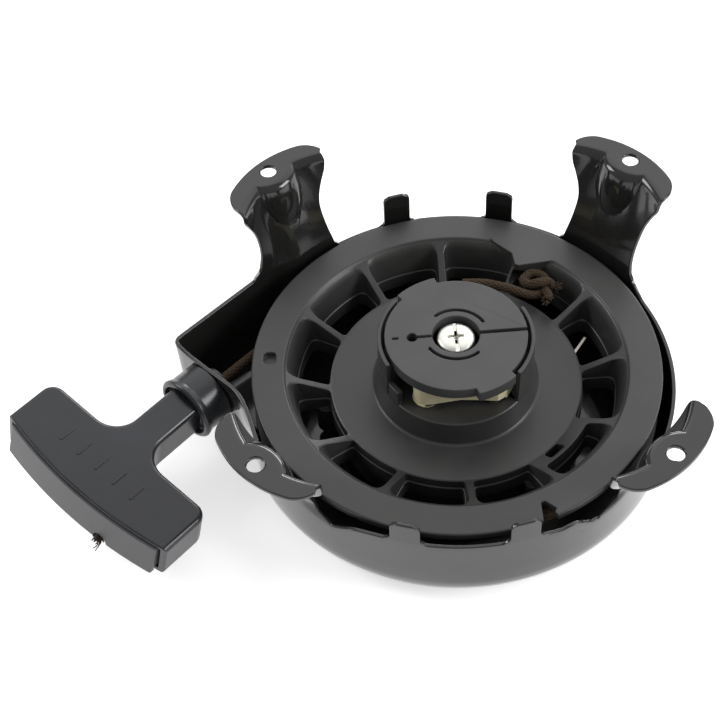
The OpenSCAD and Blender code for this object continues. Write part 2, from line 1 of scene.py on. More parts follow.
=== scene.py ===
"""Recoil starter: the visible pieces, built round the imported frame.

Shapes are worked out in millimetres in the part's own frame and turned into metres as each mesh is made.
"""
from math import acos, asin, atan2, cos, hypot, pi, radians, sin, sqrt, tan
import bmesh
import bpy
import numpy as np
from mathutils import Matrix, Vector


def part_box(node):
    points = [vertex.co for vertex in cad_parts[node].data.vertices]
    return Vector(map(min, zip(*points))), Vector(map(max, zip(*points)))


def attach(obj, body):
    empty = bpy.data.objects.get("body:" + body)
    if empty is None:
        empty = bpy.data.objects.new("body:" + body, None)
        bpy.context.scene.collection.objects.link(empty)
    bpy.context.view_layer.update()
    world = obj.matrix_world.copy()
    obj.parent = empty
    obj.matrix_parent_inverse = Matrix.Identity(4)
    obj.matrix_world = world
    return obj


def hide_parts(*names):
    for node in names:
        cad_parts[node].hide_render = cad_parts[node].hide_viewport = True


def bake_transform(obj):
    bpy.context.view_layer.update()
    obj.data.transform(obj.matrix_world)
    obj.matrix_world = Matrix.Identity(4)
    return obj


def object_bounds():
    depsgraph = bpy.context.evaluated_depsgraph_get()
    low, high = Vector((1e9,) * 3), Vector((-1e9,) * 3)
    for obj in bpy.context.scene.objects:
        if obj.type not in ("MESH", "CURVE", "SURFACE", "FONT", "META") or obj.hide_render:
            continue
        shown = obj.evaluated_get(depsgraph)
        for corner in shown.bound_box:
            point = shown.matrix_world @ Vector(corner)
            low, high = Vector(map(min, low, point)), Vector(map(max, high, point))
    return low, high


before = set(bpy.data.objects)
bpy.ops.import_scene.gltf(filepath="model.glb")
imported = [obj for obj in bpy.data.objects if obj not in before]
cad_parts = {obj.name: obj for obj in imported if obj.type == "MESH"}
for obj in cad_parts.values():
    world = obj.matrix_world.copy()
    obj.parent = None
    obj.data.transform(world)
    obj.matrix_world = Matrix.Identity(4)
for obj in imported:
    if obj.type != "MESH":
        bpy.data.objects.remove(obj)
cad_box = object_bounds()
MM = 0.001

# ---------- Main sizes, in millimetres ----------

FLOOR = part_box("housing")[0][2] / MM  # closed face that the starter rests on
FACE = -31.8  # pulley's ring face
SHEET = 1.4  # housing's sheet
DISH_R = 75.0  # housing's outside radius at the rim
PULL = radians(226)  # direction in which the rope is pulled
ROPE_R = 62.0  # rope line's distance from the axis
ROPE_Z = FACE - 12.0  # rope line's height
ROPE_D = 3.8
TURN = 3.5  # first spoke's angle, in degrees


def linked(name, data):
    """An object in the scene for a mesh, light or camera."""
    obj = bpy.data.objects.new(name, data)
    bpy.context.scene.collection.objects.link(obj)
    return obj


# ---------- Camera ----------

CAMERA_PLACE = (-17.28, -356.56, 405.02)
CAMERA_TILT = 50.557  # degrees below the horizon
CAMERA_HEADING = 2.459
CAMERA_ROLL = 3.513
CAMERA_LENS = 82.5
CAMERA_SENSOR = 36
CAMERA_NEAR = 0.01  # nearest distance shown, in metres


def make_camera():
    """A camera that looks down on the starter from the front, over its handle."""
    tilt = radians(CAMERA_TILT)
    forward = Vector((0, cos(tilt), -sin(tilt)))
    up = Vector((0, sin(tilt), cos(tilt)))
    axes = Matrix((Vector((1, 0, 0)), up, -forward)).transposed()
    roll = Matrix.Rotation(radians(-CAMERA_ROLL), 3, "Z")
    heading = Matrix.Rotation(radians(CAMERA_HEADING), 3, "Z")
    data = bpy.data.cameras.new("camera")
    data.sensor_width = CAMERA_SENSOR
    data.lens = CAMERA_LENS
    data.clip_start = CAMERA_NEAR
    camera = linked("camera", data)
    camera.matrix_world = (heading @ axes @ roll).to_4x4()
    camera.location = Vector(CAMERA_PLACE) * MM
    bpy.context.scene.camera = camera


make_camera()

# ---------- Mesh helpers ----------

WELD = 0.01  # vertices nearer than this are one
FLAT = 0.6  # faces that meet at less than this angle are one
ON_AXIS = 1e-6  # radius of a profile's point that lies on the axis
SHADE_ANGLE = 50  # a rounded piece's edges are sharp over this angle
FACE_WEIGHT = 80  # how strongly large faces keep their normals flat


def new_object(name, verts, faces):
    """An object whose mesh has these vertices, given in millimetres."""
    mesh = bpy.data.meshes.new(name)
    mesh.from_pydata([tuple(float(c) * MM for c in v) for v in verts], [], faces)
    mesh.validate()
    return linked(name, mesh)


def edit_mesh(obj, change):
    """Runs a change on an object's mesh."""
    bm = bmesh.new()
    bm.from_mesh(obj.data)
    change(bm)
    bm.to_mesh(obj.data)
    bm.free()


def settle(obj):
    """Applies an object's modifiers to its mesh."""
    graph = bpy.context.evaluated_depsgraph_get()
    mesh = bpy.data.meshes.new_from_object(obj.evaluated_get(graph))
    obj.modifiers.clear()
    obj.data = mesh


def smooth(obj, angle):
    """Smooth shading that stays sharp at edges over an angle."""
    obj.data.shade_smooth()
    obj.data.set_sharp_from_angle(angle=radians(angle))


def round_edges(obj, width, angle, segments=2):
    """Rounds the edges of a solid that are sharper than an angle, and weights its normals by face."""
    bevel = obj.modifiers.new("round", "BEVEL")
    bevel.width = width * MM
    bevel.segments = segments
    bevel.limit_method = "ANGLE"
    bevel.angle_limit = radians(angle)
    bevel.use_clamp_overlap = False
    bevel.miter_outer = "MITER_ARC"
    settle(obj)
    smooth(obj, SHADE_ANGLE)
    weight = obj.modifiers.new("weight", "WEIGHTED_NORMAL")
    weight.keep_sharp = True
    weight.weight = FACE_WEIGHT
    settle(obj)


def cut(obj, cutters, operation="DIFFERENCE"):
    """Applies a boolean with each cutter in turn, and removes the cutters."""
    for cutter in cutters:
        boolean = obj.modifiers.new("cut", "BOOLEAN")
        boolean.operation = operation
        boolean.solver = "EXACT"
        boolean.object = cutter
        settle(obj)
        bpy.data.objects.remove(cutter)


def tidy_mesh(obj):
    """Welds near vertices and merges flat neighbours, so that edges bevel cleanly."""
    def change(bm):
        bmesh.ops.remove_doubles(bm, verts=bm.verts, dist=WELD * MM)
        bmesh.ops.dissolve_limit(bm, angle_limit=radians(FLAT), verts=bm.verts, edges=bm.edges)

    edit_mesh(obj, change)


def face_out(obj):
    """Makes a closed mesh's faces look outwards."""
    edit_mesh(obj, lambda bm: bmesh.ops.recalc_face_normals(bm, faces=bm.faces))


def polar(r, degrees):
    """Point in the plane at a radius and an angle."""
    a = radians(degrees)
    return np.array((r * cos(a), r * sin(a)))


def arc(centre, r, start, end, steps):
    """Points of an arc in the plane."""
    return [np.array(centre) + polar(r, start + (end - start) * i / steps) for i in range(steps + 1)]


def ease(x, start, end):
    """0 before start, 1 after end, and smooth between."""
    t = min(max((x - start) / (end - start), 0.0), 1.0)
    return t * t * (3 - 2 * t)


def curve_flat(points, x):
    """Value at x of eased steps between (x, value) points, flat at each point."""
    for (x0, y0), (x1, y1) in zip(points, points[1:]):
        if x0 <= x <= x1:
            return y0 + (y1 - y0) * ease(x, x0, x1)
    return points[-1][1]


def curve_through(points, x):
    """Value at x of a smooth curve through a few (x, value) points."""
    xs, ys = zip(*points)
    if x <= xs[0]:
        return ys[0]
    if x >= xs[-1]:
        return ys[-1]
    i = max(k for k in range(len(xs) - 1) if xs[k] <= x)
    step = xs[i + 1] - xs[i]
    slopes = []
    for k in (i, i + 1):
        a, b = max(k - 1, 0), min(k + 1, len(xs) - 1)
        slopes.append((ys[b] - ys[a]) / (xs[b] - xs[a]))
    t = (x - xs[i]) / step
    return (
        (2 * t**3 - 3 * t**2 + 1) * ys[i] + (t**3 - 2 * t**2 + t) * step * slopes[0]
        + (3 * t**2 - 2 * t**3) * ys[i + 1] + (t**3 - t**2) * step * slopes[1]
    )


def lathe(name, profile, steps):
    """A turned solid, whose profile is a loop of (radius, height) points."""
    verts, faces, rings = [], [], []
    for r, z in profile:
        if r < ON_AXIS:
            rings.append([len(verts)])
            verts.append((0, 0, z))
        else:
            rings.append(list(range(len(verts), len(verts) + steps)))
            verts += [(*polar(r, 360 * i / steps), z) for i in range(steps)]
    for a, b in zip(rings, rings[1:] + rings[:1]):
        for i in range(steps):
            j = (i + 1) % steps
            if len(a) == 1 and len(b) == 1:
                continue
            if len(a) == 1:
                faces.append((a[0], b[j], b[i]))
            elif len(b) == 1:
                faces.append((a[i], a[j], b[0]))
            else:
                faces.append((a[i], a[j], b[j], b[i]))
    obj = new_object(name, verts, faces)
    face_out(obj)
    return obj


def loft(layers, name="part"):
    """A solid through (height, outline) layers, whose outlines have the same number of points."""
    n = len(layers[0][1])
    verts = [(p[0], p[1], z) for z, outline in layers for p in outline]
    last = n * (len(layers) - 1)
    faces = [tuple(reversed(range(n))), tuple(range(last, last + n))]
    for k in range(0, last, n):
        faces += [(k + i, k + (i + 1) % n, k + n + (i + 1) % n, k + n + i) for i in range(n)]
    obj = new_object(name, verts, faces)
    face_out(obj)
    return obj


def prism(outline, z0, z1, name="part"):
    """A straight solid over an outline in the plane."""
    return loft([(z0, outline), (z1, outline)], name)


def rod(r, z0, z1, centre=(0, 0), steps=48):
    """A straight round rod along Z."""
    return prism([np.array(centre) + polar(r, 360 * i / steps) for i in range(steps)], z0, z1)


def turn(obj, degrees):
    """Turns an object's mesh about the vertical axis."""
    obj.data.transform(Matrix.Rotation(radians(degrees), 4, "Z"))
    return obj


def raised(obj, height):
    """Moves an object's mesh up."""
    obj.data.transform(Matrix.Translation((0, 0, height * MM)))
    return obj


def sideways(obj):
    """Turns a mesh drawn along Z so that it runs along X."""
    obj.data.transform(Matrix.Rotation(pi / 2, 4, "Y"))
    return obj


def to_rope_line(obj):
    """Moves a mesh drawn along +X from the axis so that it lies on the rope's line."""
    spin = Matrix.Rotation(PULL, 4, "Z")
    obj.data.transform(spin @ Matrix.Translation(Vector((0, -ROPE_R, ROPE_Z)) * MM))
    return obj


def place(obj, body, slot, material, *nodes):
    """Gives a piece its material and its body, and hides the CAD nodes that it stands for."""
    obj.data.materials.clear()
    obj.data.materials.append(material)
    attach(obj, body)
    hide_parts(*nodes)


# ---------- Materials ----------


MIX_A, MIX_B, MIX_RESULT = 6, 7, 2  # colour sockets of a Mix node


class Nodes:
    """A material's node tree, built node by node round its Principled shader."""

    def __init__(self, name):
        self.material = bpy.data.materials.new(name)
        self.material.use_nodes = True
        self.tree = self.material.node_tree
        self.shader = next(n for n in self.tree.nodes if n.type == "BSDF_PRINCIPLED")
        self.place = self.add("ShaderNodeTexCoord").outputs["Object"]

    def add(self, kind, inputs=None, **settings):
        node = self.tree.nodes.new(kind)
        for key, value in settings.items():
            setattr(node, key, value)
        for key, value in (inputs or {}).items():
            self.feed(node.inputs[key], value)
        return node

    def feed(self, socket, value):
        if isinstance(value, bpy.types.NodeSocket):
            self.tree.links.new(value, socket)
        else:
            socket.default_value = value

    def set(self, **inputs):
        for key, value in inputs.items():
            self.feed(self.shader.inputs[key.replace("_", " ")], value)

    def noise(self, scale, detail=3.0, roughness=0.5, place=None):
        """Noise whose blotches are about 1/scale metres across."""
        inputs = {"Vector": place or self.place, "Scale": scale, "Detail": detail, "Roughness": roughness}
        return self.add("ShaderNodeTexNoise", inputs).outputs["Fac"]

    def remap(self, value, low0, high0, low1, high1):
        """Maps low0 to high0 onto low1 to high1, held at the ends."""
        inputs = {"Value": value, "From Min": low0, "From Max": high0, "To Min": low1, "To Max": high1}
        return self.add("ShaderNodeMapRange", inputs).outputs["Result"]

    def math(self, operation, a, b):
        return self.add("ShaderNodeMath", {0: a, 1: b}, operation=operation).outputs[0]

    def mix(self, share, a, b):
        node = self.add("ShaderNodeMix", {"Factor": share}, data_type="RGBA")
        self.feed(node.inputs[MIX_A], a)
        self.feed(node.inputs[MIX_B], b)
        return node.outputs[MIX_RESULT]

    def bump(self, height, strength, distance, under=None):
        inputs = {"Height": height, "Strength": strength, "Distance": distance}
        if under:
            inputs["Normal"] = under
        return self.add("ShaderNodeBump", inputs).outputs["Normal"]


def rgb(r, g, b):
    return (r, g, b, 1.0)


def moulded_plastic(name, dark, light, rough_low, rough_high):
    """Satin moulded plastic: cloudy tone, fine grain, faint scuffs and a few specks of dust."""
    grain, dust = 0.25, 0.04
    n = Nodes(name)
    cloud = n.noise(70, 4)
    tone = n.mix(n.remap(cloud, 0.3, 0.7, 0, 1), rgb(*dark), rgb(*light))
    speck = n.remap(n.noise(2600, 2, 0.7), 0.74, 0.78, 0, dust)
    stretch = {"Vector": n.place, "Scale": (1, 9, 3), "Rotation": (0.2, 0.1, 0.7)}
    scuff_place = n.add("ShaderNodeMapping", stretch).outputs["Vector"]
    scuff = n.remap(n.noise(240, 2, 0.6, scuff_place), 0.66, 0.74, 0, 1)
    tone = n.mix(speck, tone, rgb(0.32, 0.30, 0.28))
    rough = n.remap(cloud, 0.3, 0.7, rough_low, rough_high)
    rough = n.math("ADD", rough, n.math("MULTIPLY", scuff, 0.05))
    rough = n.math("ADD", rough, n.math("MULTIPLY", speck, 2.0))
    fine = n.bump(n.noise(5200, 2), grain, 0.00003)
    normal = n.bump(n.noise(420, 3), 0.12, 0.0002, fine)
    n.set(Base_Color=tone, Roughness=rough, Normal=normal)
    return n.material


def enamel():
    """Gloss black enamel on pressed steel: slight orange peel, dust and a few dull patches."""
    n = Nodes("gloss_black_enamel")
    patch = n.noise(45, 4, 0.6)
    speck = n.remap(n.noise(1900, 3, 0.8), 0.70, 0.76, 0, 0.10)
    black = n.mix(patch, rgb(0.010, 0.010, 0.010), rgb(0.017, 0.017, 0.016))
    tone = n.mix(speck, black, rgb(0.25, 0.24, 0.22))
    rough = n.math("ADD", n.remap(patch, 0.3, 0.75, 0.08, 0.20), n.math("MULTIPLY", speck, 2.5))
    peel = n.bump(n.noise(650, 2), 0.10, 0.0002)
    normal = n.bump(n.noise(110, 2), 0.05, 0.001, peel)
    n.set(Base_Color=tone, Roughness=rough, Normal=normal, Specular_IOR_Level=0.42)
    n.set(Coat_Weight=0.4, Coat_Roughness=0.06)
    return n.material


def plated_steel(name, dark, light, rough_low, rough_high):
    """Bare or plated steel with fine brushing and faint stains."""
    n = Nodes(name)
    stretch = n.add("ShaderNodeMapping", {"Vector": n.place, "Scale": (1, 1, 14)})
    brush = n.noise(300, 5, 0.6, stretch.outputs["Vector"])
    stain = n.noise(160, 3)
    tone = n.mix(n.remap(stain, 0.35, 0.7, 0, 1), rgb(*dark), rgb(*light))
    rough = n.remap(brush, 0.3, 0.7, rough_low, rough_high)
    n.set(Base_Color=tone, Metallic=1.0, Roughness=rough, Normal=n.bump(brush, 0.15, 0.00005))
    return n.material


def nylon():
    """Cream nylon: a little light passes into it, with grey rub marks."""
    n = Nodes("cream_nylon")
    rub = n.remap(n.noise(380, 4, 0.65), 0.55, 0.72, 0, 0.35)
    cloud = n.mix(n.noise(120, 3), rgb(0.62, 0.55, 0.33), rgb(0.74, 0.69, 0.48))
    tone = n.mix(rub, cloud, rgb(0.33, 0.30, 0.22))
    normal = n.bump(n.noise(900, 3), 0.15, 0.0001)
    n.set(Base_Color=tone, Roughness=n.remap(rub, 0, 0.35, 0.32, 0.5), Normal=normal)
    n.set(Subsurface_Weight=0.15, Subsurface_Scale=0.002)
    return n.material


def braided_rope():
    """Dark brown braid; its painted shade between the strands comes with the mesh, and its light fibre flecks
    are painted highlights.
    """
    n = Nodes("braided_rope")
    # Painted shade from the mesh: dark in the grooves between strands, light on their crests.
    strand_shade = n.add("ShaderNodeAttribute", attribute_name="strand_shade").outputs["Fac"]
    fibre = n.noise(1500, 4, 0.7)
    base = n.mix(strand_shade, rgb(0.006, 0.004, 0.003), rgb(0.060, 0.039, 0.023))
    # Light flecks where the fibre noise peaks are painted highlights on the fibres.
    tone = n.mix(n.remap(fibre, 0.52, 0.75, 0, 0.5), base, rgb(0.15, 0.10, 0.06))
    n.set(Base_Color=tone, Roughness=0.85, Normal=n.bump(fibre, 0.6, 0.0003))
    n.set(Specular_IOR_Level=0.25)
    return n.material


# Each plastic and steel: its darkest and lightest colour, and its lowest and highest roughness
ENAMEL = enamel()
PULLEY_PLASTIC = moulded_plastic(
    "pulley_plastic", (0.031, 0.031, 0.031), (0.041, 0.041, 0.040), 0.34, 0.46
)
DISC_PLASTIC = moulded_plastic(
    "disc_plastic", (0.042, 0.042, 0.043), (0.056, 0.056, 0.058), 0.40, 0.52
)
HANDLE_PLASTIC = moulded_plastic(
    "handle_plastic", (0.012, 0.013, 0.016), (0.019, 0.020, 0.025), 0.24, 0.34
)
CAP_PLASTIC = moulded_plastic(
    "cap_plastic", (0.055, 0.055, 0.058), (0.075, 0.075, 0.080), 0.38, 0.48
)
BUSH_PLASTIC = moulded_plastic(
    "bush_plastic", (0.014, 0.015, 0.018), (0.020, 0.021, 0.025), 0.22, 0.32
)
COVER_PLASTIC = moulded_plastic(
    "cover_plastic", (0.014, 0.014, 0.015), (0.020, 0.020, 0.021), 0.45, 0.6
)
NYLON = nylon()
ZINC = plated_steel("zinc_plating", (0.74, 0.73, 0.68), (0.88, 0.87, 0.82), 0.32, 0.48)
POST_STEEL = plated_steel("turned_steel", (0.40, 0.40, 0.40), (0.56, 0.56, 0.57), 0.24, 0.42)
SPRING_STEEL = plated_steel("spring_strip", (0.26, 0.25, 0.22), (0.42, 0.40, 0.35), 0.26, 0.40)
ROPE = braided_rope()

# ---------- Housing ----------

TAB_TOP = FACE + 9.4
OUTLET_S = 59.0  # flat wall's outside, along the rope's direction
OUTLET_D = 79.2  # straight wall's distance from the axis
OUTLET_Q = 80.2  # outlet's corner, across the rope's direction
OUTLET_CORNER_R = 3.6
OUTLET_END = 207.0  # angle at which the outlet's wall has met the dish
BACK_LEFT = 135  # angle of the ear beside the straight wall
EAR_OUT_R = 38.0  # radius of a flange's outer edge
HOLE_SQUARE = 127  # side of the square that the bolt holes stand on
HOLE_U = HOLE_SQUARE / sqrt(2)  # bolt hole's distance from the axis
HOLE_R = 2.8
BUSH_R = 6.1  # bush's neck, in the outlet's wall
BEND_R = 13.0  # bend between wall and floor
DRAFT = 1.4  # how far the wall leans in between its rim and the floor


def rope_frame(s, q):
    """A point given along the pull direction and across it."""
    c, d = cos(PULL), sin(PULL)
    return np.array((s * c - q * d, s * d + q * c))


def outlet_outline():
    """Outline of the rope outlet's rim from the back left ear round to the front left one."""
    along = polar(1, BACK_LEFT)
    across = polar(1, BACK_LEFT + 90)
    straight = [along * OUTLET_D + across * t for t in (15, 30, 42)]
    r, pull = OUTLET_CORNER_R, np.degrees(PULL)
    bend = arc(rope_frame(OUTLET_S - r, -OUTLET_Q + r), r, pull - 91, pull, 8)
    flat = [rope_frame(OUTLET_S, q) for q in (-65, -52)]
    a, b = rope_frame(OUTLET_S, -50), rope_frame(OUTLET_S + 0.2, -43)
    c, d = rope_frame(66.5, -32.5), polar(DISH_R, OUTLET_END)
    blend = []
    for t in np.linspace(0, 1, 13):
        blend.append((1 - t) ** 3 * a + 3 * t * (1 - t) ** 2 * b + 3 * t * t * (1 - t) * c + t**3 * d)
    return straight + bend + flat + blend


OUTLET = outlet_outline()
OUTLET_ANGLES = np.degrees([atan2(p[1], p[0]) for p in OUTLET]) % 360


def outline_radius(a):
    """Housing's outside radius at an angle, at the rim."""
    a = a % 360
    if OUTLET_ANGLES[0] <= a <= OUTLET_ANGLES[-1]:
        i = min(max(int(np.searchsorted(OUTLET_ANGLES, a)), 1), len(OUTLET) - 1)
        p, q = OUTLET[i - 1], OUTLET[i]
        d = polar(1, a)
        e = q - p
        return float((p[0] * e[1] - p[1] * e[0]) / (d[0] * e[1] - d[1] * e[0]))
    if BACK_LEFT + 1 < a < OUTLET_ANGLES[0]:
        share = ease(a, BACK_LEFT + 1, OUTLET_ANGLES[0])
        return DISH_R + (OUTLET_D / cos(radians(a - BACK_LEFT)) - DISH_R) * share
    return DISH_R


# Half widths of the ears' legs, by height above the pulley's face, from the foot to the flange
X_SIDE = [
    (-6, 19.5), (-1, 18.6), (4, 17.2), (9, 16.7), (14, 16.8), (18.5, 17.3), (23, 18.8), (27, 20.6),
    (31.8, 20.6),
]
Y_SIDE = [
    (-5, 15.5), (-2, 13.6), (2, 12.6), (8, 12.1), (14, 12.4), (18, 13.8), (22, 16.0), (26, 18.3),
    (31.8, 20.0),
]
OUTLET_SIDE = [
    (-1, 19.5), (3, 17.4), (8, 15.6), (14, 15.5), (18.5, 16.6), (23, 18.8), (27, 20.6), (31.8, 20.6),
]
FRONT_TOP = [(14, 10.8), (19, 15.0), (24, 18.6), (31.8, 20.0)]
FRONT_LEFT = [
    (-5.6, 13.6), (-4.6, 11.8), (-3.6, 9.6), (-2.6, 8.0), (-1.2, 6.9), (0.7, 6.5), (3, 6.4), (5, 6.6),
    (9, 7.6), *FRONT_TOP,
]
FRONT_RIGHT = [
    (-5.6, 12.6), (-4.8, 10.6), (-4.0, 8.0), (-3.2, 5.0), (-2.0, 3.7), (0, 3.4), (3, 4.2), (6, 5.6),
    (9, 7.4), *FRONT_TOP,
]
# Each ear's angle, and its leg's clockwise and anticlockwise sides
EARS = [
    (45, X_SIDE, Y_SIDE),
    (BACK_LEFT, Y_SIDE, OUTLET_SIDE),
    (225, X_SIDE, FRONT_LEFT),
    (315, FRONT_RIGHT, X_SIDE),
]
# Rim tabs: their angles and half width in degrees, and the fillets at their feet and corners in degrees
# over heights in millimetres
TABS = (75.3, 104.7, 255.3, 284.7)
TAB_HALF = 3.8
TAB_FILLET, TAB_FILLET_HIGH = 1.6, 2.2
TAB_CORNER, TAB_CORNER_HIGH = 1.8, 2.4
TAB_ROWS, TAB_COLUMNS = 14, 22
COLUMN_STEP = 0.8  # plain rim's columns, in degrees

# Rows of each ear's mesh up its leg, round its bend and over its flange
LEG_ROWS, BEND_ROWS, FLANGE_ROWS = 34, 8, 10
EAR_COLUMNS = 84
FLANGE_HALF = 20.6
FLANGE_OUT = 5.5  # flange's edge past the bolt hole
FLANGE_CORNER, FLANGE_CORNER_IN = 5.0, 4.6
FLANGE_SPREAD = 0.92  # crowds the flange's columns a little towards its ends
EAR_BEND = 2.0  # bend's radius under the flange
LEG_SLOPE = radians(27)  # leg's lean outwards where it meets the bend
LEG_TOP = -SHEET - EAR_BEND * (1 - sin(LEG_SLOPE))
LEG_TOP_U = HOLE_U - 2.4
LEG_CROWN = 66  # divides t squared, for how far the leg's sides curl back
LEG_CURVE = 1.12  # leg leans out a little more towards its top
# Hollow behind each bolt: an arc's radius and rise at the flange, its half width, length and edge
DIMPLE_R, DIMPLE_DEEP, DIMPLE_HALF, DIMPLE_LONG, DIMPLE_SOFT = 9.07, 4.8, 8.0, 15.5, 0.5


def foot_angles(angle, right, left):
    """Angles that a leg's foot covers on the rim."""
    a = np.degrees(asin(right[0][1] / DISH_R))
    b = np.degrees(asin(left[0][1] / DISH_R))
    return angle - a, angle + b


# Rim's height above the pulley's face by angle: in eased steps round the dish
RIM = [
    (0, -6.5), (24, -6.5), (32, -1.5), (58, -5.0), (122, -5.0), (146, -0.4), (152, 0.0), (173, 0.0),
    (176, -1.1), (190, -0.3), (209, -0.5), (235.5, -5.6), (305, -5.6), (330, -1.5), (338, -6.5), (360, -6.5),
]
# and in a smooth curve along the front, between the feet of the two front legs
FRONT_RIM = [
    (235.5, -5.6), (238.3, -3.8), (241.5, -1.6), (246.5, -0.2), (251.6, 0.3), (259, 0.1), (281, 0.1),
    (289, -0.2), (294.3, -1.4), (297, -1.1), (299.2, -1.7), (303.5, -5.3), (305, -5.6),
]
# Rows down the wall, where 0.5 is the top of its bend
WALL_ROWS = [0, 0.08, 0.2, 0.35, 0.5, 0.58, 0.66, 0.74, 0.82, 0.9, 1.0]
# and shares of the way from the centre to the floor's edge
FLOOR_ROWS = [0.9, 0.72, 0.5, 0.28, 0.12]


def rim_height(a):
    """Height of the rim at an angle, leaving out ears and tabs."""
    a = a % 360
    if FRONT_RIM[0][0] < a < FRONT_RIM[-1][0]:
        return FACE + curve_through(FRONT_RIM, a)
    return FACE + curve_flat(RIM, a)


def housing_columns():
    """Angles of the housing's columns, with the ear or tab that each belongs to."""
    special = []
    for i, ear in enumerate(EARS):
        special.append((*foot_angles(*ear), ("ear", i), EAR_COLUMNS))
    for i, a in enumerate(TABS):
        half = TAB_HALF + TAB_FILLET
        special.append((a - half, a + half, ("tab", i), TAB_COLUMNS))
    special.sort()
    columns = []
    for k, (a, b, what, n) in enumerate(special):
        columns += [(a + (b - a) * i / n, what) for i in range(n + 1)]
        after = special[(k + 1) % len(special)][0]
        gap = (after - b) % 360
        m = max(int(gap / COLUMN_STEP), 2)
        columns += [(b + gap * i / m, None) for i in range(1, m)]
    return columns


def wall_point(a, depth):
    """Point on the wall at an angle; depth runs from 0 at the rim to 1 at the floor's edge."""
    top = rim_height(a)
    r = outline_radius(a)
    straight_low = FLOOR + BEND_R
    if depth <= 0.5:
        z = top + (straight_low - top) * depth / 0.5
        inset = DRAFT * (top - z) / (top - FLOOR)
        return (*polar(r - inset, a), z)
    bend = (depth - 0.5) / 0.5 * pi / 2
    inset = DRAFT * (top - straight_low) / (top - FLOOR)
    return (*polar(r - inset - BEND_R * (1 - cos(bend)), a), FLOOR + BEND_R * (1 - sin(bend)))


def dimple(t, z):
    """How far the leg is pressed in behind the bolt, at t across and z below the flange."""
    down = min(max((LEG_TOP - z) / DIMPLE_LONG, 0.0), 1.0)
    half = max(DIMPLE_HALF * sqrt(1 - down**2.2), 0.01)
    x = DIMPLE_HALF * t / half
    chord = DIMPLE_R - DIMPLE_DEEP
    bulge = sqrt(max(DIMPLE_R**2 - x * x, 0)) - chord
    return (1 - down**1.6) * (bulge + hypot(bulge, DIMPLE_SOFT)) / 2


def ear_point(ear, share, row, foot):
    """Point on an ear's outer surface; share runs across it and row runs from foot to outer edge."""
    angle, right, left = ear
    radial, across = polar(1, angle), polar(1, angle + 90)
    u0 = float(np.dot(foot[:2], radial))
    t0 = float(np.dot(foot[:2], across))
    side = left if share > 0.5 else right
    amount = abs(share - 0.5) * 2
    sign = 1 if share > 0.5 else -1
    rise = min(row / LEG_ROWS, 1)
    z = foot[2] + (LEG_TOP - foot[2]) * rise
    t = sign * amount * curve_through(side, z - FACE)
    t = t0 + (t - t0) * ease(row, 0, 3)
    lean = max((z - FACE) / (LEG_TOP - FACE), 0) ** LEG_CURVE
    u = u0 + (LEG_TOP_U - t * t / LEG_CROWN - u0) * lean - dimple(t, z)
    if row <= LEG_ROWS:
        return (*(radial * u + across * t), z)
    # Bend from the leg's slope to flat, then the flange out to its rounded edge
    share_bent = min((row - LEG_ROWS) / BEND_ROWS, 1)
    slope = LEG_SLOPE + (pi / 2 - LEG_SLOPE) * share_bent
    u += EAR_BEND * (cos(LEG_SLOPE) - cos(slope))
    z += EAR_BEND * (sin(slope) - sin(LEG_SLOPE))
    outer_t = sign * FLANGE_HALF * sin(amount * pi / 2) ** FLANGE_SPREAD
    outer_u = HOLE_U + FLANGE_OUT - EAR_OUT_R + sqrt(EAR_OUT_R**2 - outer_t**2)
    corner = max(abs(outer_t) - FLANGE_HALF + FLANGE_CORNER, 0) / FLANGE_CORNER
    outer_u -= FLANGE_CORNER_IN * (1 - sqrt(max(1 - corner**2, 0)))
    over = max(row - LEG_ROWS - BEND_ROWS, 0) / FLANGE_ROWS
    return (*(radial * (u + (outer_u - u) * over) + across * (t + (outer_t - t) * over)), z)


def tab_point(centre, share, row, foot):
    """Point on a rim tab, which stands up from fillets at its foot to rounded corners at its top."""
    z = foot[2] + (TAB_TOP - foot[2]) * row / TAB_ROWS
    fillet = TAB_FILLET * max(1 - (z - foot[2]) / TAB_FILLET_HIGH, 0) ** 2
    near_top = max(TAB_CORNER_HIGH - (TAB_TOP - z), 0) / TAB_CORNER_HIGH
    corner = TAB_CORNER * (1 - sqrt(max(1 - near_top**2, 0)))
    half = TAB_HALF + fillet - corner
    a = centre + (share - 0.5) * 2 * half
    return (*polar(DISH_R, a), z)


def thicken(obj, depth):
    """Gives a shell its thickness, on the side away from its normals."""
    most = 1.4  # limit of the longer step at sharp corners

    def change(bm):
        bm.normal_update()
        outer_faces = list(bm.faces)
        borders = [e.link_loops[0] for e in bm.edges if e.is_boundary]
        borders = [(loop.vert, loop.link_loop_next.vert) for loop in borders]
        inner = {}
        for v in list(bm.verts):
            inner[v] = bm.verts.new(v.co - v.normal * depth * MM * min(v.calc_shell_factor(), most))
        for face in outer_faces:
            bm.faces.new([inner[v] for v in reversed(face.verts)])
        for a, b in borders:
            bm.faces.new((b, a, inner[a], inner[b]))

    edit_mesh(obj, change)


def dish(columns, verts, faces):
    """Adds the dish's wall and floor, and returns each column's vertices from the rim inwards."""
    base = []
    for a, _ in columns:
        first = len(verts)
        verts += [wall_point(a, depth) for depth in WALL_ROWS]
        edge = np.array(verts[-1][:2])
        verts += [(*(edge * share), FLOOR) for share in FLOOR_ROWS]
        base.append(list(range(first, len(verts))))
    centre = len(verts)
    verts.append((0, 0, FLOOR))
    for p, q in zip(base, base[1:] + base[:1]):
        faces += [(p[k], p[k + 1], q[k + 1], q[k]) for k in range(len(p) - 1)]
        faces.append((p[-1], centre, q[-1]))
    return base


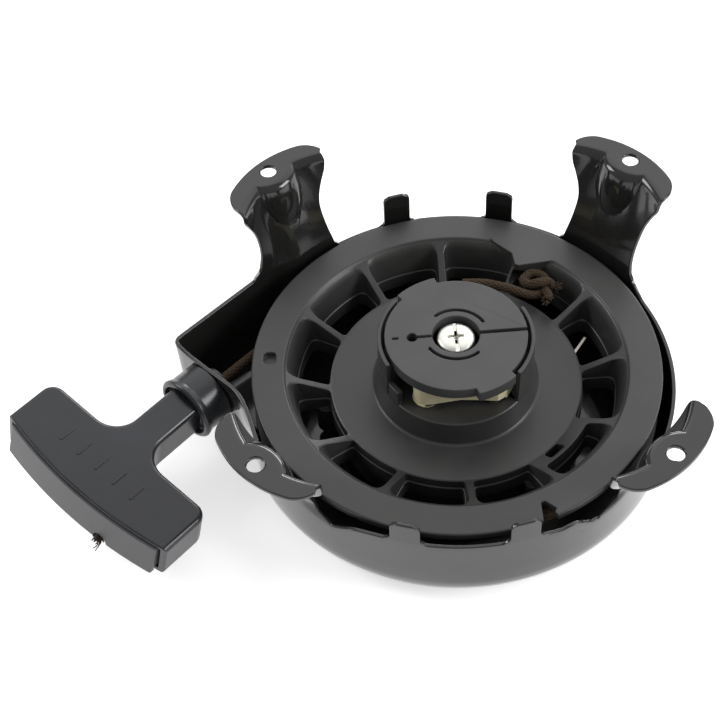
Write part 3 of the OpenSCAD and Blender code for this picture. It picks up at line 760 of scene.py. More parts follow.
def patch_point(what, a, share, row, foot):
    """Point of an ear or a tab, in the column at angle a, which is share of the way across it."""
    kind, index = what
    if kind == "tab":
        return tab_point(TABS[index], share, row, foot)
    ear = EARS[index]
    lo, hi = foot_angles(*ear)
    if a < ear[0]:
        side = 0.5 * (a - lo) / (ear[0] - lo)
    else:
        side = 0.5 + 0.5 * (a - ear[0]) / (hi - ear[0])
    return ear_point(ear, side, row, foot)


def patches(columns, base, verts, faces):
    """Adds the ears and tabs, which rise from the rim."""
    start = 0
    while start < len(columns):
        what = columns[start][1]
        if what is None:
            start += 1
            continue
        end = start
        while end + 1 < len(columns) and columns[end + 1][1] == what:
            end += 1
        rows = LEG_ROWS + BEND_ROWS + FLANGE_ROWS if what[0] == "ear" else TAB_ROWS
        patch = []
        for i in range(start, end + 1):
            share = (i - start) / (end - start)
            foot = np.array(verts[base[i][0]])
            first = len(verts)
            verts += [patch_point(what, columns[i][0], share, row, foot) for row in range(1, rows + 1)]
            patch.append([base[i][0], *range(first, len(verts))])
        for p, q in zip(patch, patch[1:]):
            faces += [(p[k + 1], p[k], q[k], q[k + 1]) for k in range(rows)]
        start = end + 1


def weld_shell(bm):
    """Joins the patches to the rim, and turns every face outwards."""
    bmesh.ops.remove_doubles(bm, verts=bm.verts, dist=0.0002 * MM)
    bmesh.ops.recalc_face_normals(bm, faces=bm.faces)
    bm.normal_update()
    low_face = min(bm.faces, key=lambda f: f.calc_center_median().z)
    if low_face.normal.z > 0:
        bmesh.ops.reverse_faces(bm, faces=bm.faces)


def level_flanges(obj):
    """Keeps every corner of the flanges' rounded edges inside the sheet's thickness."""
    for v in obj.data.vertices:
        x, y, z = v.co / MM
        out = (abs(x) + abs(y)) / sqrt(2)
        low_limit = -SHEET if out > HOLE_U + 1 else z
        v.co.z = min(max(z, low_limit), 0.0) * MM


def make_housing():
    """The pressed steel dish with its outlet, tabs and ears, as one sheet that is then thickened."""
    columns = housing_columns()
    verts, faces = [], []
    base = dish(columns, verts, faces)
    patches(columns, base, verts, faces)
    obj = new_object("housing_shell", verts, faces)
    edit_mesh(obj, weld_shell)
    thicken(obj, SHEET)
    holes = [rod(HOLE_R, -6, 6, polar(HOLE_U, ear[0])) for ear in EARS]
    holes.append(to_rope_line(sideways(rod(BUSH_R + 0.05, OUTLET_S - 8, OUTLET_S + 6))))
    cut(obj, holes)
    round_edges(obj, 0.3, 55)
    level_flanges(obj)
    place(obj, "base", "housing_steel", ENAMEL, "housing")


make_housing()

# ---------- Pulley ----------

SPOKES = 12
STEP = 360 / SPOKES
WEB_Z = -9.0  # heights on the pulley are from its ring face
LOW_Z = -17.9  # underside of its rim
CUP_Z = -27  # open end of the spring's cup
RIM_R = 70
GROOVE_R = 57.3
GROOVE_LOW, GROOVE_TOP = LOW_Z + 2.5, -2.8
CUP_IN_R, CUP_OUT_R = 39.5, 42.0
HUB_R = 26.2
BOSS_R = 11  # boss round the bore
BORE_R = 6.55
WINDOW_R = 43.4  # windows' inner edge
SLOT_WINDOW, SLOT_WINDOW_R = 10, 48.6  # the window beside the slot, and its inner edge
CLEAR = 0.02  # keeps two faces of a boolean apart
PAWL_PIVOT = (-11.5, -14.5)
# Hub's walls, and the low rings beside them: inside and outside radius, height, and start and span in degrees
HUB_WALLS = [(25.1, 26.5, 14.5, 136.5, 68), (24.2, 26.3, 5.5, 203.5, 14)]
COVER_BOSSES, COVER_BOSS_R, COVER_BOSS_PLACE = 3, 3.5, 45.2
# Windows' walls from top to bottom: height, outer edge, spoke's width and how far the inner edge steps out
WINDOW_WALLS = [
    (5, 58.3, 2.3, 0), (-0.6, 58.3, 2.3, 0), (-3.2, 56.3, 2.4, 0), (-12, 55.2, 2.8, 0),
    (-12.02, 54.8, 3.6, 0.5), (-20, 54.8, 3.6, 0.5),
]


def joined(objects, name):
    """One object from several, whose surfaces stay apart."""
    bm = bmesh.new()
    for obj in objects:
        bm.from_mesh(obj.data)
        bpy.data.objects.remove(obj)
    mesh = bpy.data.meshes.new(name)
    bm.to_mesh(mesh)
    bm.free()
    return linked(name, mesh)


def rounded_outline(corners, steps=5):
    """A closed outline through (point, corner radius) pairs, with its corners rounded."""
    out = []
    n = len(corners)
    for i, (point, r) in enumerate(corners):
        point = np.array(point, float)
        if r <= 0:
            out.append(point)
            continue
        before = np.array(corners[i - 1][0], float) - point
        after = np.array(corners[(i + 1) % n][0], float) - point
        before, after = before / np.linalg.norm(before), after / np.linalg.norm(after)
        half = acos(max(min(float(before @ after), 1), -1)) / 2
        reach = r / tan(half)
        start, end = point + before * reach, point + after * reach
        for k in range(steps + 1):
            t = k / steps
            out.append((1 - t) ** 2 * start + 2 * t * (1 - t) * point + t * t * end)
    return out


def window_outline(r0, r1, spoke):
    """Outline of the window between two spokes of this width, with its middle on the X axis."""
    half_step = pi / SPOKES
    corner_in, corner_out, steps = 1.5, 3.0, 8

    def edge_angle(r):
        return half_step - asin(spoke / 2 / r)

    def at(r, a):
        return np.array((r * cos(a), r * sin(a)))

    inner_a, outer_a = edge_angle(r0), edge_angle(r1)
    outer = [(at(r1, -outer_a), corner_out)]
    outer += [(at(r1 / cos(outer_a / steps), a), 0) for a in np.linspace(-0.7, 0.7, steps) * outer_a]
    outer += [(at(r1, outer_a), corner_out)]
    inner = [(at(r0, inner_a), corner_in)]
    inner += [(at(r0, a), 0) for a in np.linspace(0.8, -0.8, steps) * inner_a]
    inner += [(at(r0, -inner_a), corner_in)]
    return rounded_outline(outer + inner)


def annular_block(r0, r1, z0, z1, start, span):
    """Part of a ring with a rectangular section."""
    steps = max(int(span / 3), 4)
    outline = arc((0, 0), r1, start, start + span, steps) + arc((0, 0), r0, start + span, start, steps)
    return prism(outline, z0, z1)


def pulley_profile():
    """The pulley's section: bore, spring cup, rope groove, ring face, web, hub and boss."""
    foot = HUB_R + 3.2
    fillet = [(foot - 1.4 * sin(a), WEB_Z + 1.4 - 1.4 * cos(a)) for a in np.linspace(0, 1.3, 5)]
    lip = [(59.4 - 0.9 * sin(a), -0.9 + 0.9 * cos(a)) for a in np.linspace(0, 1.4, 5)]
    return [
        (BORE_R, -11.5), (CUP_IN_R, -11.5), (CUP_IN_R, CUP_Z), (CUP_OUT_R, CUP_Z), (CUP_OUT_R, LOW_Z),
        (RIM_R - 0.3, LOW_Z), (RIM_R, LOW_Z + 0.3), (RIM_R, GROOVE_LOW), (GROOVE_R, GROOVE_LOW),
        (GROOVE_R, GROOVE_TOP), (RIM_R, GROOVE_TOP), (RIM_R, -0.4), (RIM_R - 0.4, 0), *lip, (57.6, -1.2),
        (43.2, WEB_Z + 0.4), (42.4, WEB_Z), *fillet, (HUB_R + 0.4, -0.5), (HUB_R, 0),
        (BOSS_R, 0), (BOSS_R, 7.6), (BORE_R, 7.6),
    ]


def pulley_windows():
    """Cutters for the windows between the spokes, and for the slot beside one of them."""
    windows = []
    for i in range(SPOKES):
        inner = SLOT_WINDOW_R if i == SLOT_WINDOW else WINDOW_R
        layers = []
        for z, outer, spoke, inset in reversed(WINDOW_WALLS):
            layers.append((z, window_outline(inner + inset, outer, spoke)))
        windows.append(turn(loft(layers), TURN + STEP * (i + 0.5)))
    corners = [((43.4, -3.2), 1), ((46.8, -3.4), 1), ((46.8, 3.4), 1), ((43.4, 3.2), 1)]
    slot = prism(rounded_outline(corners), -20, 5)
    windows.append(turn(slot, TURN + STEP * (SLOT_WINDOW + 0.35)))
    return joined(windows, "windows")


def pulley_extras():
    """What stands on the turned shape: the knot's pocket wall, the hub's walls and rings, and the bosses."""
    gusset = rounded_outline([
        ((14.9, 57.4), 0.5), ((22.2, 50.5), 1.2), ((23.0, 45.0), 0.5), ((24.3, 44.3), 0.6),
        ((36.1, 46.0), 0.5), ((39.0, 49.0), 0), ((20.0, 60.0), 0),
    ], 3)
    extras = [prism(gusset, LOW_Z + CLEAR, -0.004)]
    for side in (0, 180):
        for r0, r1, high, start, span in HUB_WALLS:
            extras.append(annular_block(r0, r1, -0.6, high, TURN + start + side, span))
    for i in range(COVER_BOSSES):
        place_at = polar(COVER_BOSS_PLACE, TURN + 60 + 360 / COVER_BOSSES * i)
        extras.append(rod(COVER_BOSS_R, CUP_Z, LOW_Z + 1, place_at))
    return extras


def pulley_cutters():
    """Cutters for the groove, the rim's notch, the blind hole, the pawls' pivots and the rope's hole."""
    low, top, r = GROOVE_LOW + CLEAR, GROOVE_TOP - CLEAR, GROOVE_R + CLEAR
    groove = lathe("groove", [(r, low), (75, low), (75, top), (r, top)], 240)
    notch = [
        polar(63.2, -66.9), polar(63.4, -65.7), polar(67.6, -63.9), polar(67.8, -64.8), polar(71, -64.8),
        polar(71, -69.2),
    ]
    blind = rounded_outline([
        ((-65.9, 2.0), 1.5), ((-61.6, 2.0), 1.5), ((-61.6, 7.0), 1.5), ((-65.9, 7.0), 1.5),
    ])
    cutters = [groove, prism(notch, -4, 1), prism(blind, -2, 1)]
    for side in (0, 180):
        cutters.append(turn(rod(2.45, -3.4, 1, PAWL_PIVOT), TURN + side))
    rope_hole = sideways(rod(2.2, 46, 62))
    cutters.append(turn(raised(rope_hole, -5.2), TURN + 58))
    return cutters


def make_pulley():
    """The moulded pulley, with its web, spokes, hub and rope groove."""
    obj = lathe("pulley_shape", pulley_profile(), 240)
    cut(obj, [pulley_windows()])
    cut(obj, pulley_extras(), "UNION")
    cut(obj, pulley_cutters())
    raised(obj, FACE)
    tidy_mesh(obj)
    round_edges(obj, 0.35, 40)
    place(obj, "pulley", "pulley_plastic", PULLEY_PLASTIC, "pulley")


make_pulley()

# ---------- Friction disc, screw and pawls ----------

DISC_TOP = 15.3
DISC_LOW = 10.9
DISC_R, LOBE_R = 24, 26.4
RECESS_R, RECESS_LOW = 8, 10.4  # recess for the screw's head
DISC_BORE_R = 4.6
SPRING_SLOT, SPRING_SLOT_R = 14.8, 1.8  # round end of the narrow slot: its place and its radius
# Each lobe's two ends, and the end of the plain edge that follows it, in degrees
LOBES = [(-75.5, -44, 103.5), (104, 137, 283.9)]
ABOVE = 20  # height above every piece, for cutters
SLOT_R = 10.7  # disc's arc slots
HEAD_LOW, HEAD_TOP, HEAD_R = 11.2, 14.3, 6.4
SHANK_R = 2.95


def arc_slot(r, width, start, span):
    """Cutter for a slot along an arc, with round ends."""
    outline = arc((0, 0), r + width / 2, start, start + span, 24)
    outline += arc(polar(r, start + span), width / 2, start + span, start + span + 180, 5)[1:-1]
    outline += arc((0, 0), r - width / 2, start + span, start, 24)
    outline += arc(polar(r, start), width / 2, start + 180, start + 360, 5)[1:-1]
    return prism(outline, 5, ABOVE)


def straight_slot(x0, x1, width, low, angle):
    """Cutter for a straight slot along a line from the axis, from this height up."""
    half = width / 2
    return turn(prism([(x0, -half), (x1, -half), (x1, half), (x0, half)], low, ABOVE), angle)


def make_disc():
    """The friction disc over the pawls, with two lobes, its slots and its centre recess."""
    outline = []
    for start, end, plain_end in LOBES:
        outline += arc((0, 0), LOBE_R, start, end, 14)
        outline += arc((0, 0), DISC_R, end + 0.6, plain_end, 60)
    obj = prism(outline, DISC_LOW, DISC_TOP, "disc_shape")
    cut(obj, [rod(9.6, 9, DISC_LOW + 0.3, steps=96)], "UNION")
    cut(obj, [
        rod(RECESS_R, RECESS_LOW, ABOVE, steps=96),
        rod(DISC_BORE_R, 5, ABOVE),
        straight_slot(7, 30, 1.3, 5, TURN),
        straight_slot(-SPRING_SLOT, -7, 1.0, 5, TURN),
        rod(SPRING_SLOT_R, 5, ABOVE, polar(-SPRING_SLOT, TURN)),
        straight_slot(-21.6, -19.3, 0.9, DISC_TOP - 1, TURN),
        arc_slot(SLOT_R, 1.1, 30, 98),
        arc_slot(SLOT_R, 1.1, -147, 98),
    ])
    raised(obj, FACE)
    tidy_mesh(obj)
    round_edges(obj, 0.28, 40)
    place(obj, "disc", "disc_plastic", DISC_PLASTIC, "friction_disc")


def make_screw():
    """Pan head with a cross recess and a slot, on its shank."""
    dome = []
    for a in np.linspace(pi / 2, 0, 12):
        dome.append((HEAD_R * sin(a), HEAD_TOP - 1.3 * (1 - cos(a)) ** 1.6))
    shank = [(0, -6), (SHANK_R, -6), (SHANK_R, HEAD_LOW)]
    head = [(HEAD_R - 0.4, HEAD_LOW), (HEAD_R, HEAD_LOW + 0.4)]
    obj = lathe("screw_shape", shank + head + dome, 96)
    cross_angle = 4
    cut(obj, [
        straight_slot(-2.6, 2.6, 0.9, HEAD_TOP - 1.5, cross_angle),
        straight_slot(-2.6, 2.6, 0.9, HEAD_TOP - 1.5, cross_angle + 90),
        straight_slot(-7, 7, 1.1, HEAD_TOP - 0.75, cross_angle + 90),
        rod(1.15, HEAD_TOP - 2.0, ABOVE),
    ])
    raised(obj, FACE)
    tidy_mesh(obj)
    round_edges(obj, 0.16, 40)
    place(obj, "base", "zinc_steel", ZINC, "centre_screw")


def make_pawl(name, body, degrees):
    """Nylon pawl: pivot boss, slim arm and a thick hooked end, with its drive pin."""
    hook = [
        ((7.2, -18.45), 0), ((12.2, -19.3), 0.8), ((15.0, -17.6), 1.2), ((17.9, -13.0), 0.9),
        ((17.0, -11.4), 0.6), ((12, -12.2), 0),
    ]
    tip = [
        ((9.0, -18.5), 0.5), ((12.2, -19.1), 0.8), ((14.9, -17.5), 1.2), ((17.7, -13.1), 0.9),
        ((16.8, -11.6), 0.6), ((9.5, -12.6), 0.5),
    ]
    outline = arc(PAWL_PIVOT, 4.2, 75, 275, 16) + [(0, -17.6), (7, -18.4)]
    outline += rounded_outline(hook, 3)[1:] + [(4, -12.9), (-4, -12.4)]
    obj = prism(outline, 1.6, DISC_LOW - 0.4, name)
    cut(obj, [
        prism(arc(PAWL_PIVOT, 4.1, 0, 352.5, 47), 0.15, 2.0),
        prism(rounded_outline(tip, 3), 0.6, 2.0),
        rod(1.4, DISC_LOW - 0.6, DISC_LOW + 2.3, (-1, -15.3), 32),
        rod(2.4, -3, 0.4, PAWL_PIVOT, 40),
    ], "UNION")
    turn(obj, TURN + degrees)
    raised(obj, FACE)
    tidy_mesh(obj)
    round_edges(obj, 0.45, 40, 3)
    place(obj, body, "pawl_nylon", NYLON, body)


make_disc()
make_screw()
make_pawl("pawl_front_shape", "pawl_front", 0)
make_pawl("pawl_back_shape", "pawl_back", 180)

# ---------- Rope ----------

BRAID_STEP = 0.36  # spacing of a braid's rings along the rope
BRAID_LAY = 2.4  # length in which a strand moves one strand's width round
KNOT_DEPTH = 0.34  # deeper strands where the rope is bent tightly
ROPE_SHADE = 80  # a rope's edges are sharp over this angle


def smooth_path(points, spacing):
    """Points at even spacing along a smooth curve through given points."""
    pts = [np.array(p, float) for p in points]
    pts = [2 * pts[0] - pts[1]] + pts + [2 * pts[-1] - pts[-2]]
    fine = []
    for a, b, c, d in zip(pts, pts[1:], pts[2:], pts[3:]):
        square, cube = 2 * a - 5 * b + 4 * c - d, 3 * b - a - 3 * c + d
        for t in np.linspace(0, 1, 24, endpoint=False):
            fine.append(0.5 * (2 * b + (c - a) * t + square * t**2 + cube * t**3))
    fine.append(pts[-2])
    fine = np.array(fine)
    along = np.concatenate([[0], np.cumsum(np.linalg.norm(np.diff(fine, axis=0), axis=1))])
    count = max(int(round(along[-1] / spacing)), 4)
    even = np.linspace(0, along[-1], count + 1)
    return np.stack([np.interp(even, along, fine[:, k]) for k in range(3)], axis=1)


def braid(name, path, r, sides=40, strands=8, depth=0.24):
    """A braided tube along an evenly spaced path; its per-vertex attribute is painted shade, dark in the
    grooves between strands and light on their crests.
    """
    n = len(path)
    tangents = np.gradient(path, axis=0)
    tangents /= np.linalg.norm(tangents, axis=1)[:, None]
    up = np.array((0, 0, 1.0))
    if abs(tangents[0] @ up) > 0.9:
        up = np.array((1.0, 0, 0))
    along = np.concatenate([[0], np.cumsum(np.linalg.norm(np.diff(path, axis=0), axis=1))])
    verts, tone = [], []
    side = np.cross(tangents[0], up)
    for i in range(n):
        side = side - tangents[i] * (side @ tangents[i])
        side /= np.linalg.norm(side)
        other = np.cross(tangents[i], side)
        twist = 2 * pi * along[i] / (BRAID_LAY * strands)
        for k in range(sides):
            a = 2 * pi * k / sides
            turn_left = strands * (a + twist) / 2
            turn_right = strands * (a - twist) / 2
            left, right = abs(sin(turn_left)), abs(sin(turn_right))
            weave = 0.5 + 0.5 * sin(turn_left * 2) * sin(turn_right * 2)
            height = left * weave + right * (1 - weave)
            reach = r * (1 - depth * (1 - height) ** 1.3)
            verts.append(path[i] + (side * cos(a) + other * sin(a)) * reach)
            # Painted shade: darker where the braid dips between strands, lighter on their crests.
            tone.append(height)
    faces = []
    for i in range(n - 1):
        for k in range(sides):
            m = (k + 1) % sides
            faces.append((i * sides + k, i * sides + m, (i + 1) * sides + m, (i + 1) * sides + k))
    for i, end in ((0, -1), (n - 1, 1)):
        centre = len(verts)
        verts.append(path[i] + tangents[i] * end * 0.3 * r)
        tone.append(0.6)
        faces += [(i * sides + k, i * sides + (k + 1) % sides, centre) for k in range(sides)]
    obj = new_object(name, verts, faces)
    strand_shade = obj.data.attributes.new("strand_shade", "FLOAT", "POINT")
    strand_shade.data.foreach_set("value", tone)
    face_out(obj)
    smooth(obj, ROPE_SHADE)
    return obj


def frayed_end(centre, direction, length, r, count, seed):
    """Loose fibres that splay out of a cut rope end."""
    rng = np.random.default_rng(seed)
    direction = np.array(direction, float) / np.linalg.norm(direction)
    pieces = []
    for _ in range(count):
        spread = rng.normal(0, 0.5, 3)
        base = np.array(centre) + rng.normal(0, r * 0.4, 3)
        reach = length * rng.uniform(0.5, 1.1)
        bend = rng.normal(0, 0.35, 3) * reach
        way = direction + spread
        path = smooth_path([base, base + way * reach * 0.5, base + way * reach + bend], reach / 5)
        pieces.append(braid("fibre", path, rng.uniform(0.14, 0.26), sides=6, strands=2, depth=0.1))
    return joined(pieces, "tuft")


# The handle sits a little askew in the bush: rolled, lifted and turned about this point of the rope's line
TILT_S = 69.5  # places along the rope's line are from the pulley's axis
TILT = [Matrix.Rotation(radians(a), 4, axis) for a, axis in ((-11.3, "X"), (-4.0, "Y"), (4.2, "Z"))]
ASKEW = TILT[2] @ TILT[1] @ TILT[0]
KNOT_S = 109.0  # knot inside the handle
TAIL_END = (124.6, 13.2, -7.4)  # rope's end under the cap


def handle_place(obj):
    """Moves a mesh drawn on the rope's line to where the handle is."""
    at = Matrix.Translation(Vector((TILT_S * MM, 0, 0)))
    obj.data.transform(at @ ASKEW @ at.inverted())
    return to_rope_line(obj)


def on_handle_axis(s):
    """Point of the handle's axis, on the rope's line before that is placed."""
    way = ASKEW.to_3x3() @ Vector((1, 0, 0))
    return (TILT_S + way.x * (s - TILT_S), way.y * (s - TILT_S), way.z * (s - TILT_S))


def make_rope_run():
    """Rope from beside the pulley, through the bush, to the handle's knot."""
    end = on_handle_axis(KNOT_S - 4.2)
    points = [(23.6, 0, 0), (45, 0, 0), (TILT_S - 3, 0, 0), on_handle_axis(TILT_S + 3), end]
    obj = braid("rope_run_braid", smooth_path(points, BRAID_STEP), ROPE_D / 2)
    to_rope_line(obj)
    obj.data.materials.append(ROPE)
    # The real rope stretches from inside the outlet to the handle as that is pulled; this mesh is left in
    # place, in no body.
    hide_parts("rope_run")
    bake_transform(obj)


def make_rope_coil():
    """Three turns in the pulley's groove."""
    turns, r, count = 3, ROPE_R - 0.05, 900
    top = FACE + GROOVE_TOP - 0.35 - ROPE_D / 2
    path = []
    for i in range(count + 1):
        share = i / count
        a = 2 * pi * turns * share
        path.append((r * cos(a), r * sin(a), top - ROPE_D * (turns - 1) * share))
    obj = braid("rope_coil_braid", np.array(path), ROPE_D / 2 - 0.05, sides=14, depth=0.16)
    place(obj, "pulley", "rope", ROPE, "rope_coil")


def make_rope_knot():
    """Stopper knot in the pulley's pocket, with its tail over the spoke."""
    z = FACE
    first = [
        (4, 38.6, z - 2.4), (12.4, 38.0, z - 2.2), (20.7, 35.2, z - 2.3), (26.5, 33.4, z - 3.4),
        (31.0, 34.0, z - 4.4), (34.2, 37.6, z - 4.4), (33.0, 42.0, z - 3.6), (28.6, 43.0, z - 3.0),
        (25.9, 40.0, z - 3.2), (27.6, 36.8, z - 2.0), (31.2, 36.6, z - 0.9), (34.6, 38.0, z - 2.2),
        (36.4, 36.4, z - 3.6),
    ]
    second = [
        (26.2, 38.6, z - 5.6), (29.6, 38.6, z - 5.4), (33.0, 35.4, z - 3.4), (34.2, 32.2, z - 3.0),
        (33.4, 30.6, z - 3.4),
    ]
    ends = []
    for points, r in ((first, ROPE_D / 2 - 0.25), (second, ROPE_D / 2 - 0.35)):
        ends.append(braid("knot", smooth_path(points, BRAID_STEP), r, depth=KNOT_DEPTH))
    tufts = [
        frayed_end((36.4, 36.4, z - 3.4), (1, -0.3, 0.3), 2.0, 1.5, 26, 3),
        frayed_end((33.4, 30.8, z - 3.2), (-0.1, -1, 0.2), 2.0, 1.5, 26, 4),
    ]
    obj = joined([*ends, *tufts], "rope_knot_braid")
    smooth(obj, ROPE_SHADE)
    place(obj, "pulley", "rope", ROPE, "rope_knot")


def make_handle_knot():
    """Knot inside the handle, with the rope's frayed end under the cap."""
    start = np.array((KNOT_S, 0, 0.0))
    end = np.array(TAIL_END)
    points = [
        (KNOT_S - 4, 0, 0), (KNOT_S - 1, 2, 1), (KNOT_S + 1.5, 0, 2), (KNOT_S, -2, 0), (KNOT_S - 1, 0.5, -2),
        (KNOT_S + 1.5, 2, -1),
    ]
    points += [tuple(start + (end - start) * t) for t in (0.35, 0.7, 0.93)]
    tail = braid("tail", smooth_path(points, 0.4), ROPE_D / 2 - 0.1)
    tuft = frayed_end(end - (end - start) * 0.09, (0.7, 0.55, -0.4), 1.3, 2.2, 80, 5)
    obj = handle_place(joined([tail, tuft], "handle_knot_braid"))
    smooth(obj, ROPE_SHADE)
    place(obj, "handle", "rope", ROPE, "handle_knot")


make_rope_run()
make_rope_coil()
make_rope_knot()
make_handle_knot()

# ---------- Rope bush ----------


def make_bush():
    """Moulded guide bush, with a rounded collar and the socket for the handle's stem."""
    r, bore_r, start, lip_s, lip_r = 11.0, 2.45, 54, 69.6, 1.4
    lip = [(lip_s + lip_r * sin(a), r - 0.5 + lip_r * cos(a)) for a in np.linspace(0.2, 1.9, 8)]
    # Each point's place along the rope's line and its radius
    profile = [
        (start, bore_r), (start, BUSH_R - 0.1), (start + 0.3, BUSH_R), (OUTLET_S, BUSH_R),
        (OUTLET_S + CLEAR, r - 0.4), (OUTLET_S + 0.5, r), (67.6, r), (68.2, r + 0.3), *lip, (70.9, 10.2),
        (68.4, 10.0), (68.3, bore_r),
    ]
    obj = lathe("rope_bush_shape", [(radius, s) for s, radius in profile], 96)
    sideways(obj)
    to_rope_line(obj)
    round_edges(obj, 0.25, 50)
    place(obj, "base", "bush_plastic", BUSH_PLASTIC, "rope_bush")


make_bush()

# ---------- Handle ----------

HANDLE_H = 15.8
STEM_S = 69.7
STEM_W = 12.6
BAR_IN_S = 98.0  # bar's straight inner side
BAR_END_S = 118.2  # bar's outer side at its ends
BAR_BOW = 4.2  # how far that side bows out in its middle
BAR_L = 72.6
BAR_CORNER = 5.0  # inner corners' radius
STEM_FILLET = 9.0
BOW_STEPS = 41
CAP_OUT = 1.6  # how far the cap stands past the bar's edge at half its height
CAP_LEAN = tan(radians(7))
WALL = 2.2
# Roundings: the widest, and the shares of it on the bowed side and at that side's two ends
SOFT_WIDTH, SOFT_STEPS, SOFT_BOW, SOFT_END = 3.6, 8, 0.32, 0.4
# Raised bars: number, spacing, the first one's place across, half width, reach along the stem and rise
MARKS, MARK_STEP, MARK_Q, MARK_HALF = 5, 8, -17.5, 0.6
MARK_IN_S, MARK_OUT_S, MARK_RISE = 106.5, 113.0, 0.22


def bow(q, extra=0.0):
    """Outer edge of the bar, or a line that stands out from it, at q across it."""
    return BAR_END_S + BAR_BOW * (1 - (2 * q / BAR_L) ** 2) + extra


def bow_line(half, steps, extra=0.0):
    """Points of such a line, from -half to half across it."""
    return [(bow(q, extra), q) for q in np.linspace(-half, half, steps)]


def soften_handle(obj):
    """Rounds the T's edges: broadly along the stem and the inner side, tightly along the bowed side."""
    mesh = obj.data
    weights = mesh.attributes.new("bevel_weight_edge", "FLOAT", "EDGE")
    for edge in mesh.edges:
        a, b = (mesh.vertices[i].co / MM for i in edge.vertices)
        middle = (a + b) / 2
        level = abs(a.z - b.z) < 0.01
        on_bow = middle.x > bow(middle.y) - 0.6
        corner = not level and (abs(abs(a.y) - BAR_L / 2) < 0.01 and on_bow)
        if level:
            weights.data[edge.index].value = SOFT_BOW if on_bow else 1.0
        elif corner:
            weights.data[edge.index].value = SOFT_END
    bevel = obj.modifiers.new("round", "BEVEL")
    bevel.width = SOFT_WIDTH * MM
    bevel.segments = SOFT_STEPS
    bevel.limit_method = "WEIGHT"
    settle(obj)


def handle_outline():
    """The T's outline: its stem, its straight inner side with round corners, and its bowed outer side."""
    half, w, f, k = BAR_L / 2, STEM_W / 2, STEM_FILLET, BAR_CORNER
    outline = [(STEM_S, -w)]
    outline += arc((BAR_IN_S - f, -w - f), f, 90, 0, 12)
    outline += arc((BAR_IN_S + k, k - half), k, 180, 270, 10)
    outline += bow_line(half, BOW_STEPS)
    outline += arc((BAR_IN_S + k, half - k), k, 90, 180, 10)
    outline += arc((BAR_IN_S - f, w + f), f, 0, -90, 12)
    outline += [(STEM_S, w)]
    return outline


def handle_marks(low, top):
    """Short raised bars on the handle's top, where a maker would put lettering."""
    marks = []
    for i in range(MARKS):
        q = MARK_Q + MARK_STEP * i
        mark = prism(rounded_outline([
            ((MARK_IN_S, q - MARK_HALF), 0.5), ((MARK_OUT_S, q - MARK_HALF), 0.5),
            ((MARK_OUT_S, q + MARK_HALF), 0.5), ((MARK_IN_S, q + MARK_HALF), 0.5),
        ], 3), low, top)
        round_edges(mark, 0.12, 50)
        marks.append(mark)
    return marks


def make_handle_body():
    """The hollow T handle, with its raised bars."""
    h = HANDLE_H / 2
    obj = prism(handle_outline(), -h, h)
    soften_handle(obj)
    inner = BAR_L / 2 - WALL
    pocket = bow_line(inner, 21, -4.0) + bow_line(inner, 21, 6.0)[::-1]
    cut(obj, [prism(pocket, WALL - h, h - WALL + 0.9), sideways(rod(2.4, 60, 116))])
    tidy_mesh(obj)
    round_edges(obj, 0.15, 50)
    obj = handle_place(joined([obj, *handle_marks(h - 0.5, h + MARK_RISE)], "handle_shape"))
    smooth(obj, SHADE_ANGLE)
    place(obj, "handle", "handle_plastic", HANDLE_PLASTIC, "handle_body")


def make_handle_cap():
    """Strip that closes the bar's outer side, stands a little past it and leans out at the bottom."""
    half, h = BAR_L / 2 - WALL - 0.9, HANDLE_H / 2
    layers = []
    for z in (0.2 - h, h - 1.6):
        face = bow_line(half, BOW_STEPS, CAP_OUT - z * CAP_LEAN)[::-1]
        layers.append((z, bow_line(half, BOW_STEPS, -3.6) + face))
    obj = loft(layers, "cap_shape")
    way = np.array(TAIL_END) - (KNOT_S, 0, 0)
    hole = sideways(rod(2.0, 0, 26))
    aim = Vector(way).to_track_quat("X", "Z").to_matrix().to_4x4()
    hole.data.transform(Matrix.Translation(Vector((KNOT_S, 0, 0)) * MM) @ aim)
    # Only the face, not the plug behind it, reaches down past the bar's bottom wall
    behind = bow_line(half + 1, BOW_STEPS, -8) + bow_line(half + 1, BOW_STEPS, 0.25)[::-1]
    cut(obj, [hole, prism(behind, -h - 1, WALL - h + 0.3)])
    handle_place(obj)
    tidy_mesh(obj)
    round_edges(obj, 0.6, 50, 3)
    place(obj, "handle", "cap_plastic", CAP_PLASTIC, "handle_cap")


make_handle_body()
make_handle_cap()

# ---------- Inner pieces keep their CAD shapes ----------

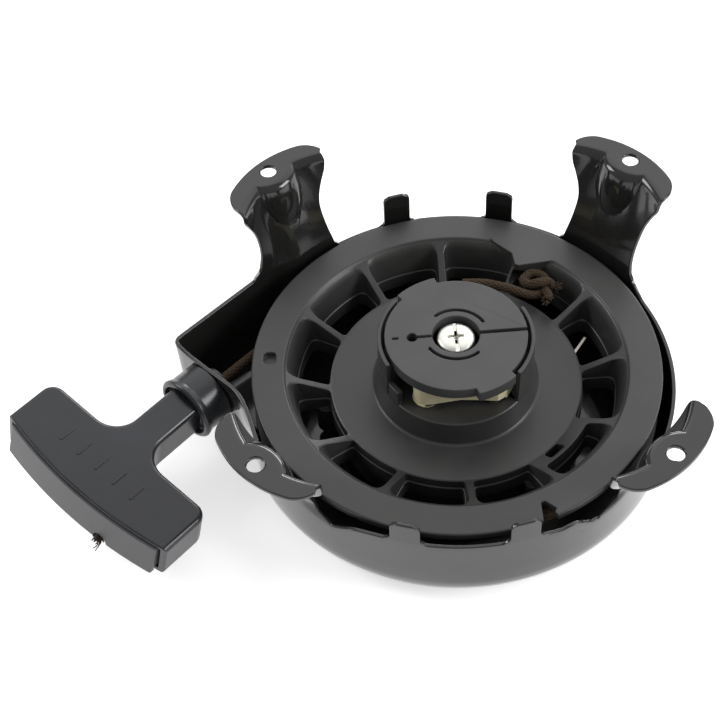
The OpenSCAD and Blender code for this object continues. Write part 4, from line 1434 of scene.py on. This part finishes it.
KEPT = {
    "centre_post": POST_STEEL, "bush_clip": ZINC, "thrust_washer": ZINC, "recoil_spring": SPRING_STEEL,
    "spring_cover": COVER_PLASTIC, "cover_screws": ZINC, "friction_spring": SPRING_STEEL,
    "retaining_washer": ZINC, "disc_sleeve": POST_STEEL, "lock_washer": ZINC, "handle_washer": ZINC,
}
for node_name, node_material in KEPT.items():
    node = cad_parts[node_name]
    node.data.materials.clear()
    node.data.materials.append(node_material)

# ---------- Floor and light ----------

FLOOR_HALF = 6.0  # metres
FLOOR_GLOW = 0.55
WORLD_LEVEL = 0.45
# Area lights that face the starter: name, place and size in metres, power in watts
LIGHTS = [
    ("back_box", (0.35, 1.1, 1.05), (2.6, 1.8), 14),
    ("left_box", (-1.1, 0.25, 0.7), (0.45, 0.6), 6),
    ("right_box", (1.25, -0.25, 0.62), (0.7, 0.7), 13),
    ("low_back_box", (0.5, 1.5, 0.55), (0.9, 0.3), 7),
]


def make_floor():
    """A white table, bright enough to look white under the lights."""
    mesh = bpy.data.meshes.new("floor")
    z = cad_box[0].z
    corners = [(x * FLOOR_HALF, y * FLOOR_HALF, z) for x, y in ((-1, -1), (1, -1), (1, 1), (-1, 1))]
    mesh.from_pydata(corners, [], [(0, 1, 2, 3)])
    floor = linked("floor", mesh)
    n = Nodes("pale_floor")
    n.set(Base_Color=rgb(0.9, 0.9, 0.9), Roughness=0.8, Specular_IOR_Level=0.1)
    n.set(Emission_Color=rgb(1, 1, 1), Emission_Strength=FLOOR_GLOW)
    floor.data.materials.append(n.material)


def area_light(name, place, size, power):
    """A rectangular light at a place, facing the origin."""
    data = bpy.data.lights.new(name, "AREA")
    data.shape = "RECTANGLE"
    data.size, data.size_y = size
    data.energy = power
    light = linked(name, data)
    light.location = place
    light.rotation_euler = (-Vector(place)).to_track_quat("-Z", "Y").to_euler()


def make_light():
    """An even white studio, with the lights in it."""
    world = bpy.data.worlds.new("studio")
    bpy.context.scene.world = world
    world.use_nodes = True
    back = world.node_tree.nodes["Background"]
    back.inputs["Color"].default_value = (1, 1, 1, 1)
    back.inputs["Strength"].default_value = WORLD_LEVEL
    for light in LIGHTS:
        area_light(*light)


make_floor()
make_light()
bpy.context.scene.view_settings.view_transform = "Standard"
